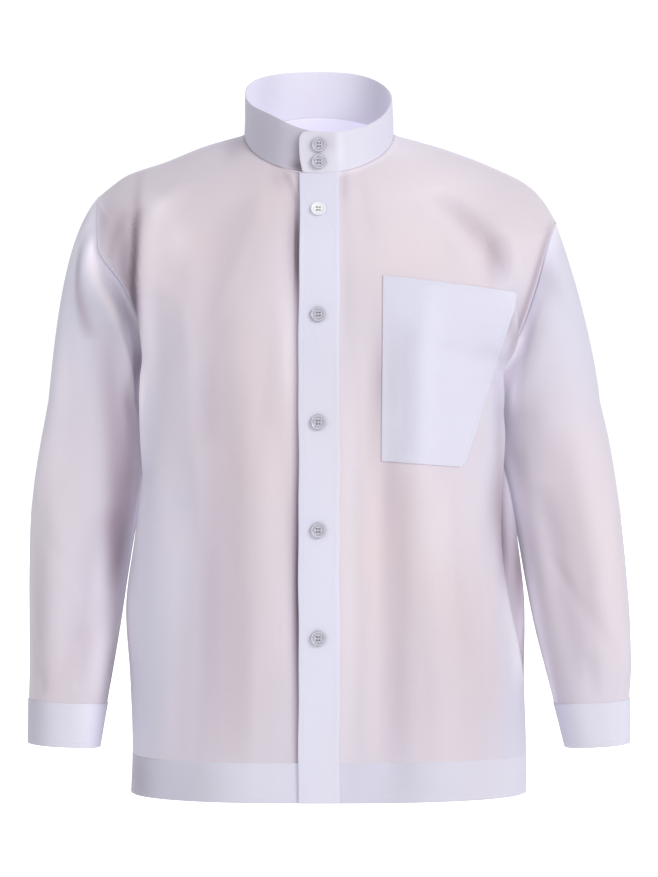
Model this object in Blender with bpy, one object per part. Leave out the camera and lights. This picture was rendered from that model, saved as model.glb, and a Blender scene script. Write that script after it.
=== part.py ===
# Mandarin collar shirt in the hollow form it has when worn. The front faces -Y and the wearer's
# left is +X. The origin is the centre of the neck opening, level with the tops of the shoulders.
import math

import bmesh
import bpy
import numpy as np
from mathutils import Vector

# Driving sizes in millimetres; MM turns them into metres when a mesh is made
MM = 0.001
SEAM_GAP = 0.3
SLEEVE_SET_BACK = 0.36    # the sleeve head's cut edge stands this far back from the armhole seam
CLOTH = 1.3
BAND = 2.0                # folded cloth of the placket, collar, cuffs and hem

PLACKET_WIDTH = 43.0
PLACKET_CENTRE = 0.5
PLACKET_PROUD = 0.9       # its outer face stands this far out of the fronts
UNDERLAP_END = 19.0       # how far the right front runs on past the centre, under the placket
UNDERLAP_DIP = 1.55
DIP_START = 14.0          # the right front dips between these distances from the placket
DIP_END = 2.0

COLLAR_HEIGHT = 43.0
COLLAR_BACK_RISE = 5.0    # the band is this much higher at the back
COLLAR_LEAN = 0.985       # the top rim's size as a share of the neck seam's
COLLAR_LEFT_DROP = 5.0
COLLAR_OVERLAP = 20.0     # how far the upper end passes the centre
COLLAR_PROUD = 0.8        # its outer face stands this far out of the neck seam
COLLAR_CORNER = 11.0
COLLAR_UNDER_TURN = 0.65  # radians of the neck over which the under end steps inward
COLLAR_UPPER_TURN = 0.3   # and over which the upper end steps outward
COLLAR_UNDER_DIP = 2.0
COLLAR_UPPER_RISE = 0.4
NECK_WIDTH = 76.0         # half the neck seam's width

CUFF_OVERLAP = 26.0       # degrees of the cuff's turn
CUFF_STEP = 30.0          # degrees over which the under end steps inward
CUFF_PROUD = 0.8
CUFF_DIP = 2.4
CUFF_CLOSING = 305.0      # the closing's place, from outer side through front, inner side, back

BUTTON_WIDTH = 15.0
BUTTON_THICK = 2.4
BUTTON_RIM = 1.6
BUTTON_DISH = 0.6
HOLE_WIDTH = 1.7
HOLE_PITCH = 3.2
FIRST_BUTTON = -83.5      # height of the placket's top button
BUTTON_PITCH = 107.0
PLACKET_BUTTONS = 5
COLLAR_BUTTONS = (29.0, 11.5)     # heights above the neck seam
BUTTON_LINE = -0.5        # sideways place of the front buttons
BUTTON_CHAMFER = 0.5
BUTTON_SIDES = 12
HOLE_SIDES = 5

# Half sizes of the patches of cloth that the buttons face: in rows, radians, mm, turns and mm
PLACKET_PATCH = 0.1
COLLAR_PATCH_TURN, COLLAR_PATCH_HEIGHT = 0.04, 2.0
CUFF_PATCH_TURN, CUFF_PATCH_HEIGHT = 0.01, 3.0

SIDE_HOLLOW = 38.0        # half the width, front to back, of the hollow where an arm rests
ARMHOLE_FRONT = 46.0      # how far the armhole seam comes forward of the side seam
ARMHOLE_BACK = 52.0
HEAD_BEND = 0.72          # how strongly the sleeve head keeps its first direction
HEAD_OUT = {-1: 0.66, 1: 0.25}    # how far outward it leaves the shoulder point, 1 is level
UNDERARM_OUT = 0.96
MIDDLE_OUT = 0.75
MIDDLE_TURN = 0.25        # how far it turns to the front or back there
HEAD_ARRIVE = (0.10, 0, -0.99)

# Folds fade out beside the placket (mm), at the side seams (share) and at the neck (rows)
PLACKET_FADE, SEAM_FADE, NECK_FADE = 14.0, 0.11, 2.8
SLEEVE_HEAD_FADE, SLEEVE_END_FADE = 0.1, 0.08

LEAST_LEAN = 0.3          # limits of the mitre at a seam
LEAST_DEPTH_LEAN = 0.5

# Rows of the body: hem edge, top of the hem band, underarm, shoulder point and neck seam
HEM, BAND_TOP, UNDERARM, SHOULDER, NECK = -1, 0, 10, 22, 30
FRONT_COLUMNS = 14
BACK_COLUMNS = 12
CAP_ROWS = 7
SLEEVE_ROWS = 11
COLLAR_LINES = 0, 0.45, 0.76, 0.92, 1
CUFF_COLUMNS, CUFF_ROWS = 30, 3
RING = 2 * (SHOULDER - UNDERARM)
RIM_ORDER = np.array([0.21, 0.37, 1.0])   # cut edges split alike on both sides of a seam
FRONT_CROWDING = 0.25     # the columns crowd towards the side seam by this share
SEAM_EASE = 4, 10         # rows over which the side seam's height eases into the underarm's
HEIGHT_ROWS = 600         # steps of the table that turns a button's height into a row


def table(columns, *rows):
    """The rows as one array for each named column."""
    return {name: np.array([row[i] for row in rows], float) for i, name in enumerate(columns.split())}


# Centre lines of the front and back; square is the section's power, 2 for an ellipse
SECTIONS = table(
    "row z_front z_back y_front y_back square crest_front crest_back",
    (-1, -675, -675, 128, 112, 2.5, 1.0, 1.0),
    (0, -635, -635, 128, 112, 2.5, 1.0, 1.0),
    (4, -484, -484, 127, 108, 2.4, 1.0, 1.0),
    (8, -334, -332, 127, 106, 2.5, 1.0, 1.0),
    (10, -258, -252, 125, 111, 2.7, 1.0, 1.0),
    (16, -190, -160, 117, 114, 2.9, 1.1, 1.1),
    (22, -118, -72, 97, 100, 2.7, 1.3, 1.6),
    (26, -80, -28, 79, 82, 2.3, 1.25, 2.2),
    (30, -45.5, 23, 64, 61, 2.0, 1.1, 1.5),
)

# Half widths at the side seams up to the underarm, and how deep an arm presses into the side
SIDES = table(
    "row z right left hollow",
    (-1, -675, 193, 213, 0),
    (0, -635, 191.5, 213, 0),
    (2, -559, 194, 211, 0),
    (4, -484, 200, 213, 2),
    (6, -409, 194, 209, 8),
    (8, -333, 187, 200, 15),
    (9, -294, 185, 196, 17),
    (10, -252, 184, 191, 17),
    (14, 0, 0, 0, 10),
    (22, 0, 0, 0, 0),
    (30, 0, 0, 0, 0),
)

# Armhole seams as a share of their rise from the underarm to the shoulder point
ARMHOLE_RIGHT = table(
    "rise x_front x_back",
    (0.00, 167, 167),
    (0.12, 173, 175),
    (0.28, 181, 189),
    (0.50, 199, 200),
    (0.72, 225, 214),
    (1.00, 227, 227),
)
ARMHOLE_LEFT = table(
    "rise x_front x_back",
    (0.00, 174, 174),
    (0.08, 180, 180),
    (0.22, 198, 193),
    (0.57, 220, 212),
    (0.90, 236, 234),
    (1.00, 244, 244),
)

# Shoulder seams from the shoulder point to the neck
SHOULDERS = table(
    "row x_right z_right x_left z_left",
    (22, 227, -65.0, 244, -91),
    (23, 213, -53.5, 231, -69.5),
    (24, 197, -42.5, 215, -53),
    (26, 158, -29.0, 174, -32.5),
    (28, 118, -13.0, 125, -14.5),
    (30, NECK_WIDTH, -1.0, NECK_WIDTH, -1.0),
)
UNDERARM_Z = {-1: -252.0, 1: -258.0}

# Sleeves from below the underarm to the cuff, and the cuffs
SLEEVE_RIGHT = table(
    "z outer inner front back",
    (-628, 297.5, 225, -56, 16),
    (-580, 297, 217, -57, 22),
    (-547, 296.5, 211.5, -62, 36),
    (-500, 297, 204, -64, 45),
    (-454, 297.5, 197.5, -63, 53),
    (-408, 297, 190.5, -62, 60),
    (-361, 293, 183, -61, 65),
    (-315, 286, 177, -60, 70),
    (-275, 279, 175.5, -58, 74),
)
SLEEVE_LEFT = table(
    "z outer inner front back",
    (-628, 318, 253, -56, 16),
    (-580, 318, 241, -57, 22),
    (-547, 320, 233, -62, 36),
    (-500, 319, 221.5, -64, 45),
    (-454, 316, 212.5, -63, 53),
    (-408, 312, 204.5, -62, 60),
    (-361, 306, 194, -61, 65),
    (-315, 298.5, 186, -60, 70),
    (-275, 289.5, 182, -58, 74),
)
CAP_Z = -275.0
CUFF_TOP, CUFF_END = -579.0, -624.0
CUFF_TILT = 5.0           # the cuff's seam is this much lower at the inner side
SLEEVE_SQUARE = 2.3

# Folds: ridges rise outward and troughs sink. Across is the way round from the centre, as
# sideways distance plus how far the cloth has turned back by then. On a sleeve it is degrees
# round it, from the outer side through the front.
FOLDS = "z_top across_top z_low across_low bow half_width rise"
RIGHT_FRONT_FOLDS = table(
    FOLDS,
    (-50, 176, -350, 254, 6, 20, 9),
    (-78, 240, -270, 262, 22, 16, -6),
    (-66, 100, -330, 140, -8, 24, -5),
    (-230, 108, -650, 98, -6, 28, -6),
    (-300, 58, -560, 48, 0, 20, 4),
    (-380, 170, -660, 190, 0, 28, 4),
)
LEFT_FRONT_FOLDS = table(
    FOLDS,
    (-60, 138, -215, 276, 0, 17, -8),
    (-84, 196, -300, 286, 0, 18, 7),
    (-150, 112, -380, 108, 0, 18, 4),
    (-190, 87, -340, 92, 0, 14, -4),
    (-300, 78, -670, 78, 0, 18, -6),
    (-330, 49, -640, 50, 0, 16, 3),
    (-330, 118, -670, 132, 0, 22, 4),
    (-285, 262, -570, 296, -60, 18, 9),
    (-300, 296, -560, 328, -58, 17, -9),
)
BACK_FOLDS = table(
    FOLDS,
    (-60, -72, -600, -100, 8, 26, -6),
    (-90, -20, -670, -35, 0, 30, 5),
    (-120, 64, -640, 50, -6, 26, -6),
    (-60, 125, -420, 110, 0, 28, 5),
    (-200, 165, -670, 155, 6, 26, -6),
    (-180, -170, -660, -165, -6, 26, -5),
)
RIGHT_SLEEVE_FOLDS = table(
    FOLDS,
    (-92, 48, -275, 140, 0, 19, 6),
    (-120, 88, -300, 168, 0, 18, -7),
    (-300, 40, -560, 70, 10, 24, 4),
    (-380, 120, -570, 100, 0, 22, -5),
    (-250, 300, -520, 250, 0, 26, -5),
    (-330, 215, -570, 230, 0, 26, 4),
)
LEFT_SLEEVE_FOLDS = table(
    FOLDS,
    (-120, 62, -290, 134, 0, 19, 5),
    (-150, 96, -320, 162, 0, 18, -6),
    (-290, 60, -560, 50, 8, 24, 4),
    (-360, 115, -570, 105, 0, 22, -5),
    (-240, 300, -500, 262, 0, 26, -5),
    (-350, 220, -570, 225, 0, 26, 4),
)

# Pocket outline seen from the front, as x and z of its corners in order
POCKET_CORNERS = ((64, -151), (199, -167), (195, -186), (147, -336), (141, -342), (62, -336))

CLOTH_COLOUR = (0.73, 0.65, 0.69)
BAND_COLOUR = (0.76, 0.76, 0.86)
BUTTON_COLOUR = (0.70, 0.70, 0.74)


def curve(places, values, at):
    """A smooth curve through the values that never swings past them."""
    steps = np.diff(places)
    rises = np.diff(values) / steps
    slopes = np.zeros(len(places))
    both = rises[:-1] * rises[1:]
    total = rises[:-1] + rises[1:]
    slopes[1:-1] = np.where(both > 0, 2 * both / np.where(total == 0, 1, total), 0)
    slopes[0], slopes[-1] = rises[0], rises[-1]
    at = np.clip(at, places[0], places[-1])
    k = np.clip(np.searchsorted(places, at, side="right") - 1, 0, len(places) - 2)
    t = (at - places[k]) / steps[k]
    start = (1 + 2 * t) * (1 - t) ** 2 * values[k] + t * (1 - t) ** 2 * steps[k] * slopes[k]
    end = t * t * (3 - 2 * t) * values[k + 1] - t * t * (1 - t) * steps[k] * slopes[k + 1]
    return start + end


def read(rows, key, column, at):
    return curve(rows[key], rows[column], at)


def ease(t):
    """From 0 to 1 with level ends."""
    t = np.clip(t, 0, 1)
    return t * t * (3 - 2 * t)


def unit(vectors):
    return vectors / np.linalg.norm(vectors, axis=-1, keepdims=True)


def fold_rise(folds, across, z):
    """How far the folds lift the cloth at each place."""
    total = np.zeros(np.broadcast(across, z).shape)
    for k in range(len(folds["rise"])):
        fold = {name: column[k] for name, column in folds.items()}
        t = np.clip((fold["z_top"] - z) / (fold["z_top"] - fold["z_low"]), 0, 1)
        hump = 4 * t * (1 - t)
        middle = fold["across_top"] + (fold["across_low"] - fold["across_top"]) * t + fold["bow"] * hump
        share = np.exp(-(((across - middle) / fold["half_width"]) ** 2))
        total += fold["rise"] * hump * (2 - hump) * share
    return total


def side_line(side, face, row):
    """The panel's outer edge: side seam, then armhole seam, then shoulder seam, as x, y, z."""
    name = "right" if side < 0 else "left"
    armhole = ARMHOLE_RIGHT if side < 0 else ARMHOLE_LEFT
    low_z = UNDERARM_Z[side]
    turn = np.clip((row - UNDERARM) / (SHOULDER - UNDERARM), 0, 1) * math.pi
    rise = (1 - np.cos(turn)) / 2
    top_z = SHOULDERS["z_" + name][0]
    reach = ARMHOLE_FRONT if face < 0 else ARMHOLE_BACK
    hollow = read(SIDES, "row", "hollow", row)
    y = reach * np.sin(turn)
    x_hole = read(armhole, "rise", "x_front" if face < 0 else "x_back", rise)
    x_hole = x_hole + hollow * np.exp(-((y / SIDE_HOLLOW) ** 2))
    x = np.where(row < UNDERARM, read(SIDES, "row", name, np.minimum(row, UNDERARM)), x_hole)
    x = np.where(row > SHOULDER, read(SHOULDERS, "row", "x_" + name, row), x)
    body_z = read(SIDES, "row", "z", np.minimum(row, UNDERARM))
    share = (row - SEAM_EASE[0]) / (SEAM_EASE[1] - SEAM_EASE[0])
    body_z = body_z + (low_z - SIDES["z"][-4]) * ease(share)
    z = np.where(row < UNDERARM, body_z, low_z + (top_z - low_z) * rise)
    z = np.where(row > SHOULDER, read(SHOULDERS, "row", "z_" + name, row), z)
    return x, y, z


def body_base(side, face, u, row):
    """A point of the body cloth before its folds. u runs from the centre, 0, to the outer edge, 1."""
    x_edge, y_edge, z_edge = side_line(side, face, row)
    end = "front" if face < 0 else "back"
    depth = read(SECTIONS, "row", "y_" + end, row)
    centre_z = read(SECTIONS, "row", "z_" + end, row)
    power = read(SECTIONS, "row", "square", row)
    hollow = read(SIDES, "row", "hollow", row)
    width = x_edge / (1 - (y_edge / depth) ** power) ** (1 / power)
    start_x = 0.0
    if face < 0:
        start_x = side * PLACKET_CENTRE + PLACKET_WIDTH / 2
    first_x = start_x + np.minimum(u, 0) * (start_x + UNDERLAP_END)
    first = np.arctan2(first_x, depth * (1 - (np.abs(first_x) / width) ** power) ** (1 / power))
    last = np.arctan2(x_edge, y_edge)
    spread = np.maximum(u, 0) * (1 + FRONT_CROWDING * (1 - u))
    angle = first + (last - first) * spread
    cosine, sine = np.abs(np.cos(angle)), np.abs(np.sin(angle))
    radius = 1 / ((cosine / depth) ** power + (sine / width) ** power) ** (1 / power)
    x, y = radius * np.sin(angle), radius * np.cos(angle)
    share = np.clip((y - y_edge) / (depth - y_edge), 0, 1)
    z = z_edge + (centre_z - z_edge) * share ** read(SECTIONS, "row", "crest_" + end, row)
    x = x - hollow * np.exp(-((y / SIDE_HOLLOW) ** 2))
    return np.stack([side * x, face * y, z], axis=-1)


def surface_normals(points, ring=False):
    """Normals of a grid of points, outward from the grid's own middle line."""
    if ring:
        across = np.roll(points, -1, axis=1) - np.roll(points, 1, axis=1)
        middle = points.mean(axis=1, keepdims=True)
    else:
        across = np.gradient(points, axis=1)
        middle = np.zeros(3)
    normals = unit(np.cross(across, np.gradient(points, axis=0)))
    away = (points - middle) * np.array([1, 1, 0])
    return normals * np.sign((normals * away).sum())


def way_round(base, row):
    """How far round the body each point is from the centre line."""
    front = base[..., 1] < 0
    depth = np.where(front, read(SECTIONS, "row", "y_front", row), read(SECTIONS, "row", "y_back", row))
    turned = np.maximum(depth - np.abs(base[..., 1]), 0)
    return np.where(front, np.abs(base[..., 0]) + turned, base[..., 0] + turned * np.sign(base[..., 0]))


def front_points(side, columns, rows):
    """The outer face of a front, with its folds and its dip beside and under the placket."""
    u, row = np.meshgrid(columns, rows)
    base = body_base(side, -1, u, row)
    folds = RIGHT_FRONT_FOLDS if side < 0 else LEFT_FRONT_FOLDS
    x = base[..., 0]
    beside = side * (x - PLACKET_CENTRE) - PLACKET_WIDTH / 2
    rise = fold_rise(folds, way_round(base, row), base[..., 2])
    rise *= ease(beside / PLACKET_FADE) * ease((1 - u) / SEAM_FADE) * ease((NECK - row) / NECK_FADE)
    if side < 0:
        rise -= UNDERLAP_DIP * ease((DIP_START - beside) / (DIP_START - DIP_END))
    return base + surface_normals(base) * rise[..., None]


def back_points(columns, rows):
    """The outer face of the back, from the right side seam to the left one."""
    halves = []
    for side, cells in ((-1, columns[::-1]), (1, columns[1:])):
        u, row = np.meshgrid(cells, rows)
        halves.append(body_base(side, 1, u, row))
    base = np.concatenate(halves, axis=1)
    u, row = np.meshgrid(np.concatenate([columns[::-1], columns[1:]]), rows)
    rise = fold_rise(BACK_FOLDS, way_round(base, row), base[..., 2])
    rise *= ease((1 - u) / SEAM_FADE) * ease((NECK - row) / NECK_FADE)
    return base + surface_normals(base) * rise[..., None]


def placket_points(columns, rows):
    """The placket's outer face, over the centre of the front."""
    x, row = np.meshgrid(columns, rows)
    side_x, side_y, side_z = side_line(1, -1, row)
    depth = read(SECTIONS, "row", "y_front", row)
    power = read(SECTIONS, "row", "square", row)
    width = side_x / (1 - (side_y / depth) ** power) ** (1 / power)
    y = depth * (1 - (np.abs(x) / width) ** power) ** (1 / power)
    share = (y - side_y) / (depth - side_y)
    crest = read(SECTIONS, "row", "crest_front", row)
    z = side_z + (read(SECTIONS, "row", "z_front", row) - side_z) * share ** crest
    base = np.stack([x, -y, z], axis=-1)
    return base + surface_normals(base) * PLACKET_PROUD * np.array([1, 1, 0])


def sleeve_ring(side, angle, z):
    """A level ring of a sleeve; the angle runs from the outer side through the front."""
    rows = SLEEVE_RIGHT if side < 0 else SLEEVE_LEFT
    outer, inner = read(rows, "z", "outer", z), read(rows, "z", "inner", z)
    front, back = read(rows, "z", "front", z), read(rows, "z", "back", z)
    cosine, sine = np.cos(angle), np.sin(angle)
    power = 2 / SLEEVE_SQUARE
    x = (outer + inner) / 2 + (outer - inner) / 2 * np.sign(cosine) * np.abs(cosine) ** power
    y = (front + back) / 2 + (front - back) / 2 * np.sign(sine) * np.abs(sine) ** power
    tilt = CUFF_TILT * ease((CAP_Z - z) / (CAP_Z - CUFF_TOP))
    return np.stack([side * x, y, z + tilt * (cosine - 1) / 2], axis=-1)


def sleeve_points(side, around, cap_rows, low_rows):
    """The outer face of a sleeve: a cap from the armhole seam to a level ring, then rings."""
    angle = 2 * math.pi * around / RING
    front_row = SHOULDER - np.clip(around, 0, RING / 2)
    back_row = UNDERARM + np.clip(around - RING / 2, 0, RING / 2)
    ahead = np.stack(side_line(side, -1, front_row), axis=-1) * np.array([side, -1, 1])
    behind = np.stack(side_line(side, 1, back_row), axis=-1) * np.array([side, 1, 1])
    head = np.where((around <= RING / 2)[:, None], ahead, behind)
    row = np.where(around <= RING / 2, front_row, back_row)
    head[:, 0] -= side * read(SIDES, "row", "hollow", row) * np.exp(-((head[:, 1] / SIDE_HOLLOW) ** 2))
    foot = sleeve_ring(side, angle, np.full(len(around), CAP_Z))
    length = np.linalg.norm(foot - head, axis=1)[:, None]
    sine = np.abs(np.sin(angle))
    out = np.where(np.cos(angle) > 0, HEAD_OUT[side], UNDERARM_OUT) * (1 - sine) + MIDDLE_OUT * sine
    down = np.sqrt(1 - out ** 2 - (MIDDLE_TURN * sine) ** 2)
    leave = np.stack([side * out, -MIDDLE_TURN * np.sin(angle), -down], axis=-1) * length * HEAD_BEND
    arrive = np.array(HEAD_ARRIVE) * np.array([side, 1, 1]) * length
    t = np.linspace(0, 1, cap_rows + 1)[:-1, None, None]
    cap = (1 + 2 * t) * (1 - t) ** 2 * head + t * (1 - t) ** 2 * leave
    cap = cap + t * t * (3 - 2 * t) * foot - t * t * (1 - t) * arrive
    levels = np.linspace(CAP_Z, CUFF_TOP, low_rows + 1)
    turn, z = np.meshgrid(angle, levels)
    points = np.concatenate([cap, sleeve_ring(side, turn, z)])
    folds = RIGHT_SLEEVE_FOLDS if side < 0 else LEFT_SLEEVE_FOLDS
    share = np.linspace(0, 1, len(points))[:, None]
    rise = fold_rise(folds, np.degrees(angle)[None, :], points[..., 2])
    rise = rise * ease(share / SLEEVE_HEAD_FADE) * ease((1 - share) / SLEEVE_END_FADE)
    return points + surface_normals(points, ring=True) * rise[..., None]


def neck_seam(angle):
    """The neck seam; the angle runs from the front centre towards the wearer's left."""
    depth = np.where(np.cos(angle) > 0, SECTIONS["y_front"][-1], SECTIONS["y_back"][-1])
    end_z = np.where(np.cos(angle) > 0, SECTIONS["z_front"][-1], SECTIONS["z_back"][-1])
    side_z = SHOULDERS["z_left"][-1]
    radius = 1 / np.sqrt((np.cos(angle) / depth) ** 2 + (np.sin(angle) / NECK_WIDTH) ** 2)
    x, y = radius * np.sin(angle), -radius * np.cos(angle)
    crest = np.where(np.cos(angle) > 0, SECTIONS["crest_front"][-1], SECTIONS["crest_back"][-1])
    z = side_z + (end_z - side_z) * np.abs(y / depth) ** crest
    return np.stack([x, y, z], axis=-1)


def collar_angles(front_columns, back_columns):
    """The collar's columns, in line with those of the cloth below it, from under end to upper end."""
    lap = np.linspace(-1, -1 / 3, 3)
    pieces = (
        (-1, -1, np.concatenate([lap, front_columns])), (-1, 1, back_columns[::-1][1:]),
        (1, 1, back_columns[1:]), (1, -1, front_columns[::-1][1:]))
    lines = [body_base(side, face, u, np.full(len(u), float(NECK))) for side, face, u in pieces]
    points = np.concatenate(lines)
    angles = np.unwrap(np.arctan2(points[:, 0], -points[:, 1]))
    front = SECTIONS["y_front"][-1]
    ends = -2 * math.pi - np.arctan2([-UNDERLAP_END / 2, 0, COLLAR_OVERLAP / 3, COLLAR_OVERLAP], front)
    return np.concatenate([angles, ends])


def collar_points(angles, heights):
    """The collar's outer face, from its under end round the right side and back to its upper end."""
    angle, height = np.meshgrid(angles, heights)
    over = np.clip(height - (COLLAR_HEIGHT - COLLAR_CORNER), 0, COLLAR_CORNER)
    cut = COLLAR_CORNER - np.sqrt(COLLAR_CORNER ** 2 - over ** 2)
    last = -2 * math.pi - np.arctan2(COLLAR_OVERLAP - cut, SECTIONS["y_front"][-1])
    angle = np.maximum(angle, last)
    low = neck_seam(angle) + np.array([0, 0, SEAM_GAP / 2])
    high = low * np.array([COLLAR_LEAN, COLLAR_LEAN, 1])
    high[..., 2] += COLLAR_HEIGHT + COLLAR_BACK_RISE * np.clip(-np.cos(angle), 0, 1)
    high[..., 2] -= COLLAR_LEFT_DROP * np.clip(np.sin(angle + 0.5), 0, 1) ** 2
    points = low + (high - low) * (height / COLLAR_HEIGHT)[..., None]
    under = ease(2 * (COLLAR_UNDER_TURN + angle) / COLLAR_UNDER_TURN)
    upper = ease((COLLAR_UPPER_TURN - angle - 2 * math.pi) / COLLAR_UPPER_TURN)
    away = unit(points * np.array([1, 1, 0]))
    step = COLLAR_PROUD - COLLAR_UNDER_DIP * under + COLLAR_UPPER_RISE * upper
    return points + away * step[..., None]


def cuff_centre(side):
    quarters = np.radians([0.0, 90.0, 180.0, 270.0])
    return sleeve_ring(side, quarters, (CUFF_TOP + CUFF_END) / 2).mean(axis=0) * np.array([1, 1, 0])


def cuff_points(side, columns, heights):
    """A cuff's outer face, one turn and an overlap; the first end lies under the last."""
    share, z = np.meshgrid(columns, heights)
    turn = 360 + CUFF_OVERLAP
    angle = np.radians(CUFF_CLOSING + turn * share)
    points = sleeve_ring(side, angle, z)
    away = unit((points - cuff_centre(side)) * np.array([1, 1, 0]))
    out = CUFF_PROUD - CUFF_DIP * ease((CUFF_OVERLAP + CUFF_STEP - turn * share) / CUFF_STEP)
    return points + away * out[..., None]


def split(points, a, b, c, d):
    """Two triangles from a quad, cut along its shorter diagonal."""
    if np.linalg.norm(points[a] - points[c]) <= np.linalg.norm(points[b] - points[d]):
        return [(a, b, c), (a, c, d)]
    return [(a, b, d), (b, c, d)]


class Wall:
    """A sheet of cloth as a grid of outer points, with the normals that set its thickness."""

    def __init__(self, name, points, thick, colour, seams, ring=False, centre=np.zeros(3)):
        self.name, self.thick, self.colour = name, thick, colour
        self.seams, self.ring = seams, ring
        self.outer = points
        self.normals = surface_normals(points - centre, ring)
        self.shared = self.normals.copy()

    def lean(self, least):
        """How squarely the shared normal stands on the cloth, as a cosine."""
        return np.clip((self.normals * self.shared).sum(axis=-1), least, 1)[..., None]

    def inner(self):
        return self.outer - self.shared * self.thick / self.lean(LEAST_DEPTH_LEAN)

    def part_seams(self, outer, inner):
        """Move each seam's edge back by half the gap, square to the seam."""
        edges = {"start": np.s_[:, 0], "end": np.s_[:, -1], "bottom": np.s_[0], "top": np.s_[-1]}
        inside = {"start": np.s_[:, 1], "end": np.s_[:, -2], "bottom": np.s_[1], "top": np.s_[-2]}
        shifts = []
        for seam in self.seams:
            line = outer[edges[seam]]
            after = unit(np.roll(line, -1, axis=0) - line)
            before = np.roll(after, 1, axis=0)
            if not self.ring:
                after[-1], before[0] = before[-1], after[0]
            inward = outer[inside[seam]] - line
            first = unit(inward - (inward * before).sum(axis=1)[:, None] * before)
            second = unit(inward - (inward * after).sum(axis=1)[:, None] * after)
            back = (first + second) / (1 + (first * second).sum(axis=1)[:, None])
            distance = SLEEVE_SET_BACK if self.ring else SEAM_GAP / 2
            shifts.append((edges[seam], back * distance / self.lean(LEAST_LEAN)[edges[seam]]))
        for edge, shift in shifts:
            outer[edge] += shift
            inner[edge] += shift

    def build(self):
        outer, inner = self.outer.copy(), self.inner()
        self.part_seams(outer, inner)
        rows, columns = outer.shape[:2]
        points = np.concatenate([outer.reshape(-1, 3), inner.reshape(-1, 3)])
        index = np.arange(rows * columns).reshape(rows, columns)
        if self.ring:
            index = np.concatenate([index, index[:, :1]], axis=1)
        far = index + rows * columns
        faces = []
        for r in range(rows - 1):
            for c in range(index.shape[1] - 1):
                corners = index[r, c], index[r, c + 1], index[r + 1, c + 1], index[r + 1, c]
                for face in split(points, *corners):
                    faces.append(face)
                    faces.append(tuple(k + rows * columns for k in face[::-1]))
        rims = [(index[0], far[0]), (index[-1][::-1], far[-1][::-1])]
        if not self.ring:
            rims += [(index[::-1, 0], far[::-1, 0]), (index[:, -1], far[:, -1])]
        for near, away in rims:
            order = points[near] @ RIM_ORDER
            for k in range(len(near) - 1):
                a, b, c, d = near[k + 1], near[k], away[k], away[k + 1]
                if order[k] < order[k + 1]:
                    faces += [(a, b, d), (b, c, d)]
                else:
                    faces += [(a, b, c), (a, c, d)]
        return add_object(self.name, points, faces, self.colour)


def share_normals(*groups):
    """Walls that meet at a seam get one normal there, so that their cut edges lie side by side."""
    totals = {}
    for walls in groups:
        sums = {}
        for wall in walls:
            for point, normal in zip(wall.outer.reshape(-1, 3), wall.normals.reshape(-1, 3)):
                key = tuple(np.round(point, 2))
                sums[key] = sums.get(key, 0) + normal
        for key, normal in sums.items():
            totals[key] = totals.get(key, 0) + unit(normal)
    for wall in [wall for walls in groups for wall in walls]:
        flat = [totals[tuple(np.round(point, 2))] for point in wall.outer.reshape(-1, 3)]
        wall.shared = unit(np.array(flat)).reshape(wall.outer.shape)


def cloth_material(name, colour, roughness):
    material = bpy.data.materials.new(name)
    material.use_nodes = True
    shader = material.node_tree.nodes["Principled BSDF"]
    shader.inputs["Base Color"].default_value = (*colour, 1)
    shader.inputs["Roughness"].default_value = roughness
    shader.inputs["Metallic"].default_value = 0
    return material


def add_object(name, points, faces, colour, roughness=0.85):
    """One closed solid with its own material."""
    mesh = bpy.data.meshes.new(name)
    mesh.from_pydata([tuple(point * MM) for point in points], [], [tuple(map(int, f)) for f in faces])
    body = bmesh.new()
    body.from_mesh(mesh)
    bmesh.ops.recalc_face_normals(body, faces=body.faces)
    body.to_mesh(mesh)
    body.free()
    mesh.materials.append(cloth_material(name, colour, roughness))
    mesh.shade_smooth()
    piece = bpy.data.objects.new(name, mesh)
    bpy.context.collection.objects.link(piece)
    return piece


def add_pocket(front):
    """The pocket: the left front's outer face, cut along the outline and moved out."""
    rows, columns = front.outer.shape[:2]
    cut = bmesh.new()
    normal_x, normal_y, normal_z = (cut.verts.layers.float.new(axis) for axis in "xyz")
    verts = []
    for point, normal in zip(front.outer.reshape(-1, 3), front.normals.reshape(-1, 3)):
        vert = cut.verts.new(point)
        vert[normal_x], vert[normal_y], vert[normal_z] = normal
        verts.append(vert)
    flat = front.outer.reshape(-1, 3)
    for r in range(rows - 1):
        for c in range(columns - 1):
            k = r * columns + c
            for face in split(flat, k, k + 1, k + columns + 1, k + columns):
                cut.faces.new([verts[corner] for corner in face])
    corners = [np.array([x, z], float) for x, z in POCKET_CORNERS]
    for start, end in zip(corners, corners[1:] + corners[:1]):
        run = end - start
        whole = cut.verts[:] + cut.edges[:] + cut.faces[:]
        bmesh.ops.bisect_plane(
            cut, geom=whole, dist=0.01, plane_co=(start[0], 0, start[1]),
            plane_no=(-run[1], 0, run[0]), clear_outer=True)
    bmesh.ops.triangulate(cut, faces=cut.faces)
    bmesh.ops.remove_doubles(cut, verts=cut.verts, dist=0.5)
    cut.verts.index_update()
    flat = np.array([vert.co[:] for vert in cut.verts])
    normals = unit(np.array([(v[normal_x], v[normal_y], v[normal_z]) for v in cut.verts]))
    near = flat + normals * SEAM_GAP
    outer = flat + normals * (SEAM_GAP + CLOTH)
    count = len(flat)
    faces = [tuple(vert.index for vert in face.verts) for face in cut.faces]
    solid = faces + [tuple(k + count for k in reversed(face)) for face in faces]
    for edge in cut.edges:
        if len(edge.link_faces) == 1:
            a, b = edge.verts[0].index, edge.verts[1].index
            solid.append((a, b, b + count, a + count))
    cut.free()
    return add_object("pocket", np.concatenate([outer, near]), solid, BAND_COLOUR)


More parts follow.
